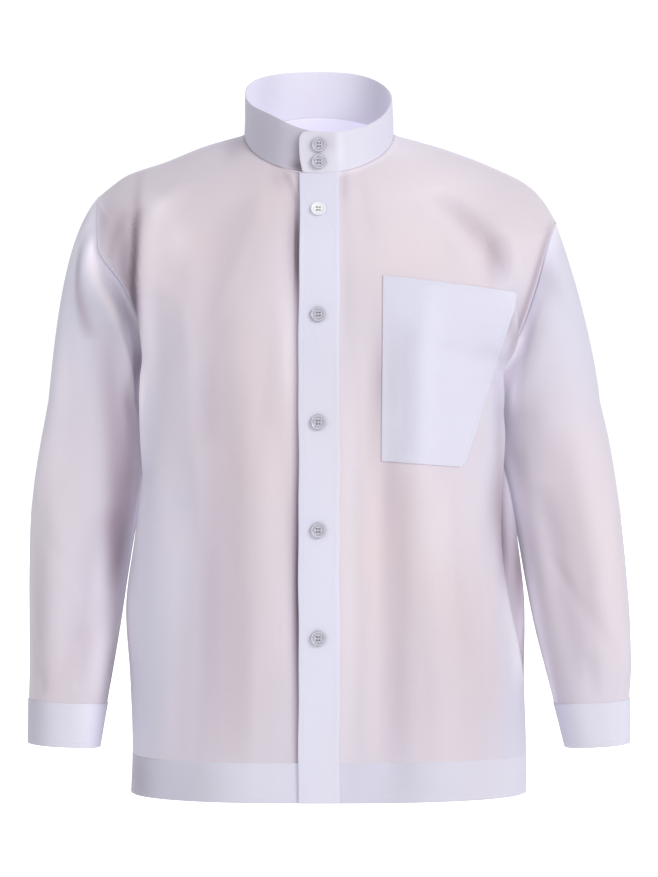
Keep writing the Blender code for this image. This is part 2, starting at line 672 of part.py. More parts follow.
def button_mesh():
    """A turned disc with a raised rim, a dished face and four holes, its back at z = 0."""
    radius = BUTTON_WIDTH / 2
    profile = (
        (radius, 0.0), (radius, BUTTON_THICK - BUTTON_CHAMFER), (radius - BUTTON_CHAMFER, BUTTON_THICK),
        (radius - BUTTON_RIM, BUTTON_THICK),
        (radius - BUTTON_RIM - BUTTON_DISH, BUTTON_THICK - BUTTON_DISH))
    disc = bmesh.new()
    rings = []
    turns = [2 * math.pi * (k + 0.5) / BUTTON_SIDES for k in range(BUTTON_SIDES)]
    for r, z in profile:
        points = [(r * math.cos(t) * MM, r * math.sin(t) * MM, z * MM) for t in turns]
        rings.append([disc.verts.new(point) for point in points])
    for low, high in zip(rings, rings[1:]):
        for k in range(BUTTON_SIDES):
            disc.faces.new([low[k - 1], low[k], high[k], high[k - 1]])
    disc.faces.new(rings[0][::-1])
    disc.faces.new(rings[-1])
    bmesh.ops.recalc_face_normals(disc, faces=disc.faces)
    mesh = bpy.data.meshes.new("button_blank")
    disc.to_mesh(mesh)
    disc.free()
    blank = bpy.data.objects.new("button_blank", mesh)
    bpy.context.collection.objects.link(blank)
    cutters = []
    for k in range(4):
        turn = math.pi * (2 * k + 1) / 4
        place = Vector((math.cos(turn), math.sin(turn), 0.5)) * HOLE_PITCH / math.sqrt(2) * MM
        bpy.ops.mesh.primitive_cylinder_add(
            vertices=HOLE_SIDES, radius=HOLE_WIDTH / 2 * MM, depth=4 * BUTTON_THICK * MM, location=place)
        cutters.append(bpy.context.object)
    for cutter in cutters:
        cut = blank.modifiers.new("hole", "BOOLEAN")
        cut.object = cutter
        cut.operation = "DIFFERENCE"
    evaluated = blank.evaluated_get(bpy.context.evaluated_depsgraph_get())
    done = bpy.data.meshes.new_from_object(evaluated)
    for spare in (*cutters, blank):
        bpy.data.objects.remove(spare)
    return done


def add_button(name, shape, place, facing):
    """A button whose back lies just clear of the cloth at the place."""
    mesh = shape.copy()
    mesh.materials.clear()
    mesh.materials.append(cloth_material(name, BUTTON_COLOUR, 0.35))
    button = bpy.data.objects.new(name, mesh)
    facing = Vector(facing).normalized()
    button.location = (Vector(place) + facing * SEAM_GAP) * MM
    button.rotation_euler = facing.to_track_quat("Z", "Y").to_euler()
    bpy.context.collection.objects.link(button)
    return button


def cloth_facing(points, centre):
    """The middle point of a 3 by 3 patch of cloth, and the way it faces, away from the centre."""
    facing = np.cross(points[1, 2] - points[1, 0], points[2, 1] - points[0, 1])
    return points[1, 1], facing * np.sign(facing @ ((points[1, 1] - centre) * np.array([1, 1, 0])))


def add_buttons():
    shape = button_mesh()
    rows = np.linspace(HEM, NECK, HEIGHT_ROWS)
    heights = read(SECTIONS, "row", "z_front", rows)
    about = np.array([-1.0, 0, 1])
    for k in range(PLACKET_BUTTONS):
        row = np.interp(FIRST_BUTTON - k * BUTTON_PITCH, heights, rows)
        patch = placket_points(BUTTON_LINE + about * BUTTON_WIDTH / 4, row + about * PLACKET_PATCH)
        add_button(f"placket_button_{k + 1}", shape, *cloth_facing(patch, np.zeros(3)))
    for k, height in enumerate(COLLAR_BUTTONS):
        turn = -2 * math.pi - about * COLLAR_PATCH_TURN
        patch = collar_points(turn, height + about * COLLAR_PATCH_HEIGHT)
        add_button(f"collar_button_{k + 1}", shape, *cloth_facing(patch, np.zeros(3)))
    for side, name in ((-1, "right"), (1, "left")):
        lap = 1 - CUFF_OVERLAP / 2 / (360 + CUFF_OVERLAP)
        heights = (CUFF_TOP + CUFF_END) / 2 - about * CUFF_PATCH_HEIGHT
        patch = cuff_points(side, lap + about * CUFF_PATCH_TURN, heights)
        add_button(f"{name}_cuff_button", shape, *cloth_facing(patch, cuff_centre(side)))


def body_walls(side_columns, under_columns, back_columns, rows, kind, thick, colour, level_seams):
    """The right front, the left front and the back over some rows."""
    return [
        Wall("right_front" + kind, front_points(-1, under_columns, rows), thick, colour,
             ("end", *level_seams)),
        Wall("left_front" + kind, front_points(1, side_columns, rows), thick, colour,
             ("end", *level_seams, "start")),
        Wall("back" + kind, back_points(back_columns, rows), thick, colour,
             ("start", "end", *level_seams))]


def build_shirt():
    for spare in list(bpy.data.objects):
        bpy.data.objects.remove(spare)
    side_columns = np.linspace(0, 1, FRONT_COLUMNS + 1)
    under_columns = np.concatenate([[-1, -2 / 3, -1 / 3], side_columns])
    back_columns = np.linspace(0, 1, BACK_COLUMNS + 1)
    columns = side_columns, under_columns, back_columns

    rows = np.arange(BAND_TOP, NECK + 1, dtype=float)
    body = body_walls(*columns, rows, "", CLOTH, CLOTH_COLOUR, ("bottom", "top"))
    hem_rows = np.array([HEM, BAND_TOP], float)
    hems = body_walls(*columns, hem_rows, "_hem", BAND, BAND_COLOUR, ("top",))
    sleeves = []
    for side, name in ((-1, "right_sleeve"), (1, "left_sleeve")):
        points = sleeve_points(side, np.arange(RING, dtype=float), CAP_ROWS, SLEEVE_ROWS)
        sleeves.append(Wall(name, points, CLOTH, CLOTH_COLOUR, ("bottom", "top"), ring=True))
    share_normals(body + hems, sleeves)
    for wall in body + hems + sleeves:
        wall.build()

    placket_start, placket_end = PLACKET_CENTRE + PLACKET_WIDTH / 2 * np.array([-1, 1])
    placket_columns = np.append(np.linspace(placket_start, UNDERLAP_END, 4), placket_end)
    placket = placket_points(placket_columns, np.arange(HEM, NECK + 1, dtype=float))
    Wall("placket", placket, BAND, BAND_COLOUR, ("end", "top")).build()

    collar_heights = COLLAR_HEIGHT * np.array(COLLAR_LINES)
    collar = collar_points(collar_angles(side_columns, back_columns), collar_heights)
    Wall("collar", collar, BAND, BAND_COLOUR, ("bottom",)).build()
    for side, name in ((-1, "right_cuff"), (1, "left_cuff")):
        cuff_columns = np.linspace(0, 1, CUFF_COLUMNS + 1)
        points = cuff_points(side, cuff_columns, np.linspace(CUFF_TOP, CUFF_END, CUFF_ROWS + 1))
        Wall(name, points, BAND, BAND_COLOUR, ("bottom",), centre=cuff_centre(side)).build()
    add_pocket(body[1])
    add_buttons()


build_shirt()
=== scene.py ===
import math
from functools import partial

import bmesh
import bpy
import numpy as np
from mathutils import Matrix, Vector
from mathutils.bvhtree import BVHTree


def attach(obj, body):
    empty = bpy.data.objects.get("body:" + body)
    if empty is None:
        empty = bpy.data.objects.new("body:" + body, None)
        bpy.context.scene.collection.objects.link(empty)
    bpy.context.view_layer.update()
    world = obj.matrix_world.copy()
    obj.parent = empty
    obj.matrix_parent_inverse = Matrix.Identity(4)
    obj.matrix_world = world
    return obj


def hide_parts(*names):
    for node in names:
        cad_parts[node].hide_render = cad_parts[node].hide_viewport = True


# A shirt of sheer cloth, drawn as thin shells on the forms of its solids. The tables are in
# millimetres. The front faces -Y and the wearer's left is +X.
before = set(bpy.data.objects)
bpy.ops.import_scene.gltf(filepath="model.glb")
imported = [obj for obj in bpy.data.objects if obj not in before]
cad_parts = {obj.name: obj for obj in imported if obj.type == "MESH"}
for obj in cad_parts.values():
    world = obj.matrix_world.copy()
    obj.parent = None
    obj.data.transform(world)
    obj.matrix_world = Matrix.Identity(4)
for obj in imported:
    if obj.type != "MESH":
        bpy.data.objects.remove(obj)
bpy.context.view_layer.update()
mm = 0.001

# Rows of the body, the same as the solids have
hemRow, bandTop, underarm, shoulder, neck = -1, 0, 10, 22, 30
ring = 2 * (shoulder - underarm)


def table(columns, *rows):
    return {name: np.array([row[k] for row in rows], float) for k, name in enumerate(columns.split())}


# form of the solids
sections = table(
    "row zFront zBack yFront yBack square crestFront crestBack",
    (-1, -675, -675, 128, 112, 2.5, 1.0, 1.0),
    (0, -635, -635, 128, 112, 2.5, 1.0, 1.0),
    (4, -484, -484, 127, 108, 2.4, 1.0, 1.0),
    (8, -334, -332, 127, 106, 2.5, 1.0, 1.0),
    (10, -258, -252, 125, 111, 2.7, 1.0, 1.0),
    (16, -190, -160, 117, 114, 2.9, 1.1, 1.1),
    (22, -118, -72, 97, 100, 2.7, 1.3, 1.6),
    (26, -80, -28, 79, 82, 2.3, 1.25, 2.2),
    (30, -45.5, 23, 64, 61, 2.0, 1.1, 1.5),
)
sides = table(
    "row z right left hollow",
    (-1, -675, 193, 213, 0),
    (0, -635, 191.5, 213, 0),
    (2, -559, 194, 211, 0),
    (4, -484, 200, 213, 2),
    (6, -409, 194, 209, 8),
    (8, -333, 187, 200, 15),
    (9, -294, 185, 196, 17),
    (10, -252, 184, 191, 17),
    (14, 0, 0, 0, 10),
    (22, 0, 0, 0, 0),
    (30, 0, 0, 0, 0),
)
armholeRight = table(
    "rise xFront xBack",
    (0.00, 167, 167),
    (0.12, 173, 175),
    (0.28, 181, 189),
    (0.50, 199, 200),
    (0.72, 225, 214),
    (1.00, 227, 227),
)
armholeLeft = table(
    "rise xFront xBack",
    (0.00, 174, 174),
    (0.08, 180, 180),
    (0.22, 198, 193),
    (0.57, 220, 212),
    (0.90, 236, 234),
    (1.00, 244, 244),
)
shoulders = table(
    "row xRight zRight xLeft zLeft",
    (22, 227, -65.0, 244, -91),
    (23, 213, -53.5, 231, -69.5),
    (24, 197, -42.5, 215, -53),
    (26, 158, -29.0, 174, -32.5),
    (28, 118, -13.0, 125, -14.5),
    (30, 76, -1.0, 76, -1.0),
)
underarmZ = {-1: -252.0, 1: -258.0}
sleeveRight = table(
    "z outer inner front back",
    (-628, 297.5, 225, -56, 16),
    (-580, 297, 217, -57, 22),
    (-547, 296.5, 211.5, -62, 36),
    (-500, 297, 204, -64, 45),
    (-454, 297.5, 197.5, -63, 53),
    (-408, 297, 190.5, -62, 60),
    (-361, 293, 183, -61, 65),
    (-315, 286, 177, -60, 70),
    (-275, 279, 175.5, -58, 74),
)
sleeveLeft = table(
    "z outer inner front back",
    (-628, 318, 253, -56, 16),
    (-580, 318, 241, -57, 22),
    (-547, 320, 233, -62, 36),
    (-500, 319, 221.5, -64, 45),
    (-454, 316, 212.5, -63, 53),
    (-408, 312, 204.5, -62, 60),
    (-361, 306, 194, -61, 65),
    (-315, 298.5, 186, -60, 70),
    (-275, 289.5, 182, -58, 74),
)
body = dict(sideHollow=38.0, armholeFront=46.0, armholeBack=52.0, seamFade=0.11, neckFade=2.8,
            fineSeam=0.03, fineNeck=0.8, fineBeside=4.0)
sleeve = dict(
    capZ=-275.0, square=2.3, headBend=0.72, headOut={-1: 0.66, 1: 0.25}, underarmOut=0.96,
    middleOut=0.75, middleTurn=0.25, arrive=(0.10, 0, -0.99), headFade=0.1, endFade=0.08,
    fineHead=0.03, fineEnd=0.015, capPart=7 / 18)
placket = dict(width=43.0, centre=0.5, proud=0.9, thick=1.0, underEnd=19.0, dip=1.55, dipStart=14.0,
               dipEnd=2.0, fade=14.0, edgeIn=1.2, topIn=0.9, topFrom=-190.0, topRun=120.0)
collar = dict(height=43.0, backRise=5.0, lean=0.985, leftDrop=5.0, overlap=20.0, proud=0.8,
              corner=11.0, neckHalf=76.0, underTurn=0.65, upperTurn=0.3, underDip=2.0,
              upperRise=0.4, thick=1.3, endCurve=4.0, endMiddle=25.0, rimFull=0.8, rimSide=0.15,
              endCurl=1.1, endReach=5.0, wave=0.5, rightRise=6.0, riseTurn=-0.8, riseWide=0.4,
              dropTurn=0.5, waves=5, waveSlant=17.0, waveFrom=30.0, waveEnd=25.0, columns=320, rows=22)
cuff = dict(top=-579.0, end=-624.0, tilt=5.0, overlap=26.0, closing=305.0, step=30.0, proud=0.8,
            dip=2.4, thick=1.2, innerX=228.0, outerX=292.0, innerHalf=14.0, outerHalf=20.0,
            innerLight=0.6, innerGlow=0.35, outerShade={-1: 0.42, 1: 0.05},
            columns=130, rows=15, rounded=0.35)

foldColumns = "zTop acrossTop zLow acrossLow bow halfWidth rise"
rightFrontFolds = table(
    foldColumns,
    (-50, 176, -350, 254, 6, 20, 9),
    (-78, 240, -270, 262, 22, 16, -6),
    (-66, 100, -330, 140, -8, 24, -5),
    (-230, 108, -650, 98, -6, 28, -6),
    (-300, 58, -560, 48, 0, 20, 4),
    (-380, 170, -660, 190, 0, 28, 4),
)
leftFrontFolds = table(
    foldColumns,
    (-60, 138, -215, 276, 0, 17, -8),
    (-84, 196, -300, 286, 0, 18, 7),
    (-150, 112, -380, 108, 0, 18, 4),
    (-190, 87, -340, 92, 0, 14, -4),
    (-300, 78, -670, 78, 0, 18, -6),
    (-330, 49, -640, 50, 0, 16, 3),
    (-330, 118, -670, 132, 0, 22, 4),
    (-285, 262, -570, 296, -60, 18, 9),
    (-300, 296, -560, 328, -58, 17, -9),
)
backFolds = table(
    foldColumns,
    (-60, -72, -600, -100, 8, 26, -6),
    (-90, -20, -670, -35, 0, 30, 5),
    (-120, 64, -640, 50, -6, 26, -6),
    (-60, 125, -420, 110, 0, 28, 5),
    (-200, 165, -670, 155, 6, 26, -6),
    (-180, -170, -660, -165, -6, 26, -5),
)
rightSleeveFolds = table(
    foldColumns,
    (-92, 48, -275, 140, 0, 19, 6),
    (-120, 88, -300, 168, 0, 18, -7),
    (-300, 40, -560, 70, 10, 24, 4),
    (-380, 120, -570, 100, 0, 22, -5),
    (-250, 300, -520, 250, 0, 26, -5),
    (-330, 215, -570, 230, 0, 26, 4),
)
leftSleeveFolds = table(
    foldColumns,
    (-120, 62, -290, 134, 0, 19, 5),
    (-150, 96, -320, 162, 0, 18, -6),
    (-290, 60, -560, 50, 8, 24, 4),
    (-360, 115, -570, 105, 0, 22, -5),
    (-240, 300, -500, 262, 0, 26, -5),
    (-350, 220, -570, 225, 0, 26, 4),
)
pocketCorners = ((64, -151), (199, -167), (195, -186), (147, -336), (141, -342), (62, -336))

# fine creases, which only the drawn cloth has
rightFrontCreases = table(
    foldColumns,
    (-34, 40, -66, 19, 0, 3.2, 2.4),
    (-36, 47, -80, 21, 0, 4.5, -2.2),
    (-72, 212, -222, 230, -18, 4, 2.0),
    (-74, 221, -205, 246, -24, 6, -4.5),
    (-60, 60, -210, 118, -8, 10, 1.0),
    (-90, 38, -330, 66, -6, 9, -0.9),
    (-150, 150, -420, 128, 8, 12, 1.0),
    (-420, 128, -668, 146, -4, 11, -1.0),
    (-470, 66, -660, 72, 0, 9, 0.9),
    (-560, 30, -668, 36, 0, 7, -0.7),
)
leftFrontCreases = table(
    foldColumns,
    (-40, 44, -120, 52, 0, 8, -0.9),
    (-50, 96, -150, 168, 0, 9, 1.0),
    (-96, 214, -260, 238, 0, 7, 1.5),
    (-200, 36, -460, 40, 3, 8, 0.9),
    (-345, 88, -520, 92, 0, 9, -1.1),
    (-350, 150, -560, 176, -6, 12, -1.2),
    (-420, 196, -664, 204, 5, 13, 1.1),
    (-520, 104, -668, 104, 0, 10, 1.0),
    (-560, 34, -668, 30, 0, 8, -0.7),
)
backCreases = table(
    foldColumns,
    (-50, -100, -260, -150, 0, 11, 1.1),
    (-50, 92, -240, 140, 0, 10, 1.1),
    (-30, 30, -190, 18, 0, 10, -1.0),
    (-300, -60, -620, -66, 5, 12, 1.1),
    (-360, 10, -665, 4, -4, 12, -1.2),
    (-330, 98, -600, 112, 4, 11, 1.0),
    (-280, -205, -520, -215, 4, 12, -1.2),
    (-300, 210, -560, 222, 3, 12, 1.2),
)
rightSleeveCreases = table(
    foldColumns,
    (-95, 52, -300, 148, 0, 5, 3.4),
    (-100, 66, -300, 160, 0, 7, -3.0),
    (-200, 120, -330, 185, 0, 8, -1.4),
    (-360, 30, -470, 90, 0, 10, -1.3),
    (-420, 60, -530, 130, 0, 9, 1.2),
    (-480, 20, -572, 60, 0, 8, -1.2),
    (-520, 100, -576, 96, 0, 7, 1.2),
    (-540, 58, -577, 56, 0, 7, -1.3),
    (-330, 250, -500, 320, 0, 10, 1.2),
    (-500, 200, -577, 205, 0, 9, -1.2),
    (-510, 290, -577, 285, 0, 9, 1.2),
)
leftSleeveCreases = table(
    foldColumns,
    (-140, 70, -300, 150, 0, 8, 1.5),
    (-210, 125, -340, 190, 0, 8, -1.3),
    (-350, 25, -480, 80, 0, 10, 1.2),
    (-430, 120, -540, 60, 0, 9, -1.3),
    (-500, 30, -576, 50, 0, 8, 1.2),
    (-530, 92, -577, 90, 0, 7, -1.3),
    (-340, 240, -500, 310, 0, 10, -1.2),
    (-500, 215, -577, 210, 0, 9, 1.2),
    (-520, 300, -577, 296, 0, 9, -1.2),
)
armholes = {-1: armholeRight, 1: armholeLeft}
sleeveRows = {-1: sleeveRight, 1: sleeveLeft}
frontFolds = {-1: (rightFrontFolds, rightFrontCreases), 1: (leftFrontFolds, leftFrontCreases)}
sleeveFolds = {-1: (rightSleeveFolds, rightSleeveCreases), 1: (leftSleeveFolds, leftSleeveCreases)}


def curve(places, values, at):
    # a smooth curve through the values that never swings past them
    steps = np.diff(places)
    rises = np.diff(values) / steps
    slopes = np.zeros(len(places))
    both = rises[:-1] * rises[1:]
    total = rises[:-1] + rises[1:]
    slopes[1:-1] = np.where(both > 0, 2 * both / np.where(total == 0, 1, total), 0)
    slopes[0], slopes[-1] = rises[0], rises[-1]
    at = np.clip(at, places[0], places[-1])
    k = np.clip(np.searchsorted(places, at, side="right") - 1, 0, len(places) - 2)
    t = (at - places[k]) / steps[k]
    start = (1 + 2 * t) * (1 - t) ** 2 * values[k] + t * (1 - t) ** 2 * steps[k] * slopes[k]
    return start + t * t * (3 - 2 * t) * values[k + 1] - t * t * (1 - t) * steps[k] * slopes[k + 1]


def read(rows, key, column, at):
    return curve(rows[key], rows[column], at)


def ease(t):
    t = np.clip(t, 0, 1)
    return t * t * (3 - 2 * t)


def unit(vectors):
    return vectors / np.maximum(np.linalg.norm(vectors, axis=-1, keepdims=True), 1e-9)


def foldRise(folds, across, z):
    # how far the folds lift the cloth at each place
    total = np.zeros(np.broadcast(across, z).shape)
    for k in range(len(folds["rise"])):
        fold = {name: column[k] for name, column in folds.items()}
        t = np.clip((fold["zTop"] - z) / (fold["zTop"] - fold["zLow"]), 0, 1)
        hump = 4 * t * (1 - t)
        middle = fold["acrossTop"] + (fold["acrossLow"] - fold["acrossTop"]) * t + fold["bow"] * hump
        total += fold["rise"] * hump * (2 - hump) * np.exp(-(((across - middle) / fold["halfWidth"]) ** 2))
    return total


def sideLine(side, face, row):
    # a panel's outer edge: side seam, then armhole seam, then shoulder seam
    name = "Right" if side < 0 else "Left"
    lowZ = underarmZ[side]
    turn = np.clip((row - underarm) / (shoulder - underarm), 0, 1) * math.pi
    rise = (1 - np.cos(turn)) / 2
    topZ = shoulders["z" + name][0]
    hollow = read(sides, "row", "hollow", row)
    y = (body["armholeFront"] if face < 0 else body["armholeBack"]) * np.sin(turn)
    xHole = read(armholes[side], "rise", "xFront" if face < 0 else "xBack", rise)
    xHole = xHole + hollow * np.exp(-((y / body["sideHollow"]) ** 2))
    x = np.where(row < underarm, read(sides, "row", name.lower(), np.minimum(row, underarm)), xHole)
    x = np.where(row > shoulder, read(shoulders, "row", "x" + name, row), x)
    bodyZ = read(sides, "row", "z", np.minimum(row, underarm))
    bodyZ = bodyZ + (lowZ - sides["z"][-4]) * ease((row - 4) / 6)
    z = np.where(row < underarm, bodyZ, lowZ + (topZ - lowZ) * rise)
    z = np.where(row > shoulder, read(shoulders, "row", "z" + name, row), z)
    return x, y, z


def bodyBase(side, face, u, row):
    # a point of the body cloth before its folds; u is 0 at the centre and 1 at the outer edge
    xEdge, yEdge, zEdge = sideLine(side, face, row)
    end = "Front" if face < 0 else "Back"
    depth = read(sections, "row", "y" + end, row)
    centreZ = read(sections, "row", "z" + end, row)
    power = read(sections, "row", "square", row)
    hollow = read(sides, "row", "hollow", row)
    width = xEdge / (1 - (yEdge / depth) ** power) ** (1 / power)
    startX = side * placket["centre"] + placket["width"] / 2 if face < 0 else 0.0
    firstX = startX + np.minimum(u, 0) * (startX + placket["underEnd"])
    first = np.arctan2(firstX, depth * (1 - (np.abs(firstX) / width) ** power) ** (1 / power))
    last = np.arctan2(xEdge, yEdge)
    angle = first + (last - first) * np.maximum(u, 0) * (1.25 - 0.25 * u)
    cosine, sine = np.abs(np.cos(angle)), np.abs(np.sin(angle))
    radius = 1 / ((cosine / depth) ** power + (sine / width) ** power) ** (1 / power)
    x, y = radius * np.sin(angle), radius * np.cos(angle)
    share = np.clip((y - yEdge) / (depth - yEdge), 0, 1)
    z = zEdge + (centreZ - zEdge) * share ** read(sections, "row", "crest" + end, row)
    x = x - hollow * np.exp(-((y / body["sideHollow"]) ** 2))
    return np.stack([side * x, face * y, z], axis=-1)


def surfaceNormals(points, isRing=False, centre=(0, 0, 0)):
    middle = np.array(centre, float)
    if isRing:
        across = np.roll(points, -1, axis=1) - np.roll(points, 1, axis=1)
        middle = points.mean(axis=1, keepdims=True)
    else:
        across = np.gradient(points, axis=1)
    normals = unit(np.cross(across, np.gradient(points, axis=0)))
    away = (points - middle) * np.array([1, 1, 0])
    return normals * np.sign((normals * away).sum())


def wayRound(base, row):
    # how far round the body each point is from the centre line
    front = base[..., 1] < 0
    depth = np.where(front, read(sections, "row", "yFront", row), read(sections, "row", "yBack", row))
    turned = np.maximum(depth - np.abs(base[..., 1]), 0)
    return np.where(front, np.abs(base[..., 0]) + turned, base[..., 0] + turned * np.sign(base[..., 0]))


def fades(u, row, seamFade, neckFade):
    # 0 at the outer seam and at the neck, 1 away from both
    return ease((1 - u) / seamFade) * ease((neck - row) / neckFade)


def folded(base, across, forms, keep, fineKeep):
    # how far the folds and the fine creases lift the cloth
    folds, creases = forms
    z = base[..., 2]
    return foldRise(folds, across, z) * keep + foldRise(creases, across, z) * fineKeep


def frontPoints(side, columns, rows):
    u, row = np.meshgrid(columns, rows)
    base = bodyBase(side, -1, u, row)
    beside = side * (base[..., 0] - placket["centre"]) - placket["width"] / 2
    keep = ease(beside / placket["fade"]) * fades(u, row, body["seamFade"], body["neckFade"])
    fineKeep = ease(beside / body["fineBeside"]) * fades(u, row, body["fineSeam"], body["fineNeck"])
    rise = folded(base, wayRound(base, row), frontFolds[side], keep, fineKeep)
    dip = 0.0
    if side < 0:
        run = placket["dipStart"] - placket["dipEnd"]
        dip = placket["dip"] * ease((placket["dipStart"] - beside) / run)
    return base + surfaceNormals(base) * (rise - dip)[..., None], rise


def backPoints(columns, rows):
    halves = []
    for side, cells in ((-1, columns[::-1]), (1, columns[1:])):
        u, row = np.meshgrid(cells, rows)
        halves.append(bodyBase(side, 1, u, row))
    base = np.concatenate(halves, axis=1)
    u, row = np.meshgrid(np.concatenate([columns[::-1], columns[1:]]), rows)
    across = wayRound(base, row)
    keep = fades(u, row, body["seamFade"], body["neckFade"])
    fineKeep = fades(u, row, body["fineSeam"], body["fineNeck"])
    rise = folded(base, across, (backFolds, backCreases), keep, fineKeep)
    return base + surfaceNormals(base) * rise[..., None], rise, across


def placketPoints(columns, rows):
    x, row = np.meshgrid(columns, rows)
    sideX, sideY, sideZ = sideLine(1, -1, row)
    depth = read(sections, "row", "yFront", row)
    power = read(sections, "row", "square", row)
    width = sideX / (1 - (sideY / depth) ** power) ** (1 / power)
    y = depth * (1 - (np.abs(x) / width) ** power) ** (1 / power)
    share = (y - sideY) / (depth - sideY)
    crest = read(sections, "row", "crestFront", row)
    z = sideZ + (read(sections, "row", "zFront", row) - sideZ) * share ** crest
    base = np.stack([x, -y, z], axis=-1)
    return base + surfaceNormals(base) * placket["proud"] * np.array([1, 1, 0])


def sleeveRing(side, angle, z):
    rows = sleeveRows[side]
    outer, inner = read(rows, "z", "outer", z), read(rows, "z", "inner", z)
    front, back = read(rows, "z", "front", z), read(rows, "z", "back", z)
    cosine, sine = np.cos(angle), np.sin(angle)
    power = 2 / sleeve["square"]
    x = (outer + inner) / 2 + (outer - inner) / 2 * np.sign(cosine) * np.abs(cosine) ** power
    y = (front + back) / 2 + (front - back) / 2 * np.sign(sine) * np.abs(sine) ** power
    tilt = cuff["tilt"] * ease((sleeve["capZ"] - z) / (sleeve["capZ"] - cuff["top"]))
    return np.stack([side * x, y, z + tilt * (cosine - 1) / 2], axis=-1)


def sleevePoints(side, around, capShares, levels):
    angle = 2 * math.pi * around / ring
    frontRow = shoulder - np.clip(around, 0, ring / 2)
    backRow = underarm + np.clip(around - ring / 2, 0, ring / 2)
    ahead = np.stack(sideLine(side, -1, frontRow), axis=-1) * np.array([side, -1, 1])
    behind = np.stack(sideLine(side, 1, backRow), axis=-1) * np.array([side, 1, 1])
    head = np.where((around <= ring / 2)[:, None], ahead, behind)
    row = np.where(around <= ring / 2, frontRow, backRow)
    head[:, 0] -= side * read(sides, "row", "hollow", row) * np.exp(-((head[:, 1] / body["sideHollow"]) ** 2))
    foot = sleeveRing(side, angle, np.full(len(around), sleeve["capZ"]))
    length = np.linalg.norm(foot - head, axis=1)[:, None]
    sine = np.abs(np.sin(angle))
    out = np.where(np.cos(angle) > 0, sleeve["headOut"][side], sleeve["underarmOut"]) * (1 - sine)
    out = out + sleeve["middleOut"] * sine
    down = np.sqrt(1 - out ** 2 - (sleeve["middleTurn"] * sine) ** 2)
    leave = np.stack([side * out, -sleeve["middleTurn"] * np.sin(angle), -down], axis=-1)
    leave = leave * length * sleeve["headBend"]
    arrive = np.array(sleeve["arrive"]) * np.array([side, 1, 1]) * length
    t = capShares[:, None, None]
    cap = (1 + 2 * t) * (1 - t) ** 2 * head + t * (1 - t) ** 2 * leave
    cap = cap + t * t * (3 - 2 * t) * foot - t * t * (1 - t) * arrive
    turn, z = np.meshgrid(angle, levels)
    points = np.concatenate([cap, sleeveRing(side, turn, z)])
    part = sleeve["capPart"]
    share = np.concatenate([capShares * part, np.linspace(part, 1, len(levels))])[:, None]
    degrees = np.degrees(angle)[None, :] + points[..., 0] * 0
    keep = ease(share / sleeve["headFade"]) * ease((1 - share) / sleeve["endFade"])
    fineKeep = ease(share / sleeve["fineHead"]) * ease((1 - share) / sleeve["fineEnd"])
    rise = folded(points, degrees, sleeveFolds[side], keep, fineKeep)
    return points + surfaceNormals(points, isRing=True) * rise[..., None], rise, degrees


def neckSeam(angle):
    front = np.cos(angle) > 0
    depth = np.where(front, sections["yFront"][-1], sections["yBack"][-1])
    endZ = np.where(front, sections["zFront"][-1], sections["zBack"][-1])
    sideZ = shoulders["zLeft"][-1]
    radius = 1 / np.sqrt((np.cos(angle) / depth) ** 2 + (np.sin(angle) / collar["neckHalf"]) ** 2)
    x, y = radius * np.sin(angle), -radius * np.cos(angle)
    crest = np.where(front, sections["crestFront"][-1], sections["crestBack"][-1])
    return np.stack([x, y, sideZ + (endZ - sideZ) * np.abs(y / depth) ** crest], axis=-1)


def collarPoints(shares, heights):
    # from the under end, 0, round the right side and the back to the upper end, 1
    share, height = np.meshgrid(shares, heights)
    over = np.clip(height - (collar["height"] - collar["corner"]), 0, collar["corner"])
    cut = collar["corner"] - np.sqrt(collar["corner"] ** 2 - over ** 2)
    cut += collar["endCurve"] * np.clip(1 - height / collar["endMiddle"], 0, 1) ** 2
    depth = sections["yFront"][-1]
    first = np.arctan2(placket["underEnd"], depth)
    last = -2 * math.pi - np.arctan2(collar["overlap"] - cut, depth)
    angle = first + (last - first) * share
    low = neckSeam(angle)
    high = low * np.array([collar["lean"], collar["lean"], 1])
    high[..., 2] += collar["height"] + collar["backRise"] * np.clip(-np.cos(angle), 0, 1)
    # the rim is fuller than the neck seam at the back
    back = np.clip(-np.cos(angle), 0, 1)
    full = back ** (collar["rimFull"] + collar["rimSide"] * np.sin(angle)) - back ** sections["crestBack"][-1]
    high[..., 2] += full * (sections["zBack"][-1] - shoulders["zLeft"][-1])
    high[..., 2] -= collar["leftDrop"] * np.clip(np.sin(angle + collar["dropTurn"]), 0, 1) ** 2
    high[..., 2] += collar["rightRise"] * np.exp(-(((angle - collar["riseTurn"]) / collar["riseWide"]) ** 2))
    points = low + (high - low) * (height / collar["height"])[..., None]
    under = ease(2 * (collar["underTurn"] + angle) / collar["underTurn"])
    upper = ease((collar["upperTurn"] - angle - 2 * math.pi) / collar["upperTurn"])
    away = unit(points * np.array([1, 1, 0]))
    step = collar["proud"] - collar["underDip"] * under + collar["upperRise"] * upper
    # the upper end curls out, and the band waves softly on its way round
    fromEnd = (angle + 2 * math.pi) * depth + collar["overlap"] - cut
    step += collar["endCurl"] * np.exp(-((fromEnd / collar["endReach"]) ** 2)) * (share > 0.5)
    waves = np.sin(collar["waves"] * angle + height / collar["waveSlant"])
    waveKeep = ease(height / collar["waveFrom"]) * ease(fromEnd / collar["waveEnd"])
    step += collar["wave"] * waves * waveKeep
    return points + away * step[..., None], np.degrees(angle)


def cuffCentre(side):
    quarters = np.radians([0.0, 90.0, 180.0, 270.0])
    middle = sleeveRing(side, quarters, (cuff["top"] + cuff["end"]) / 2).mean(axis=0)
    return middle * np.array([1, 1, 0])


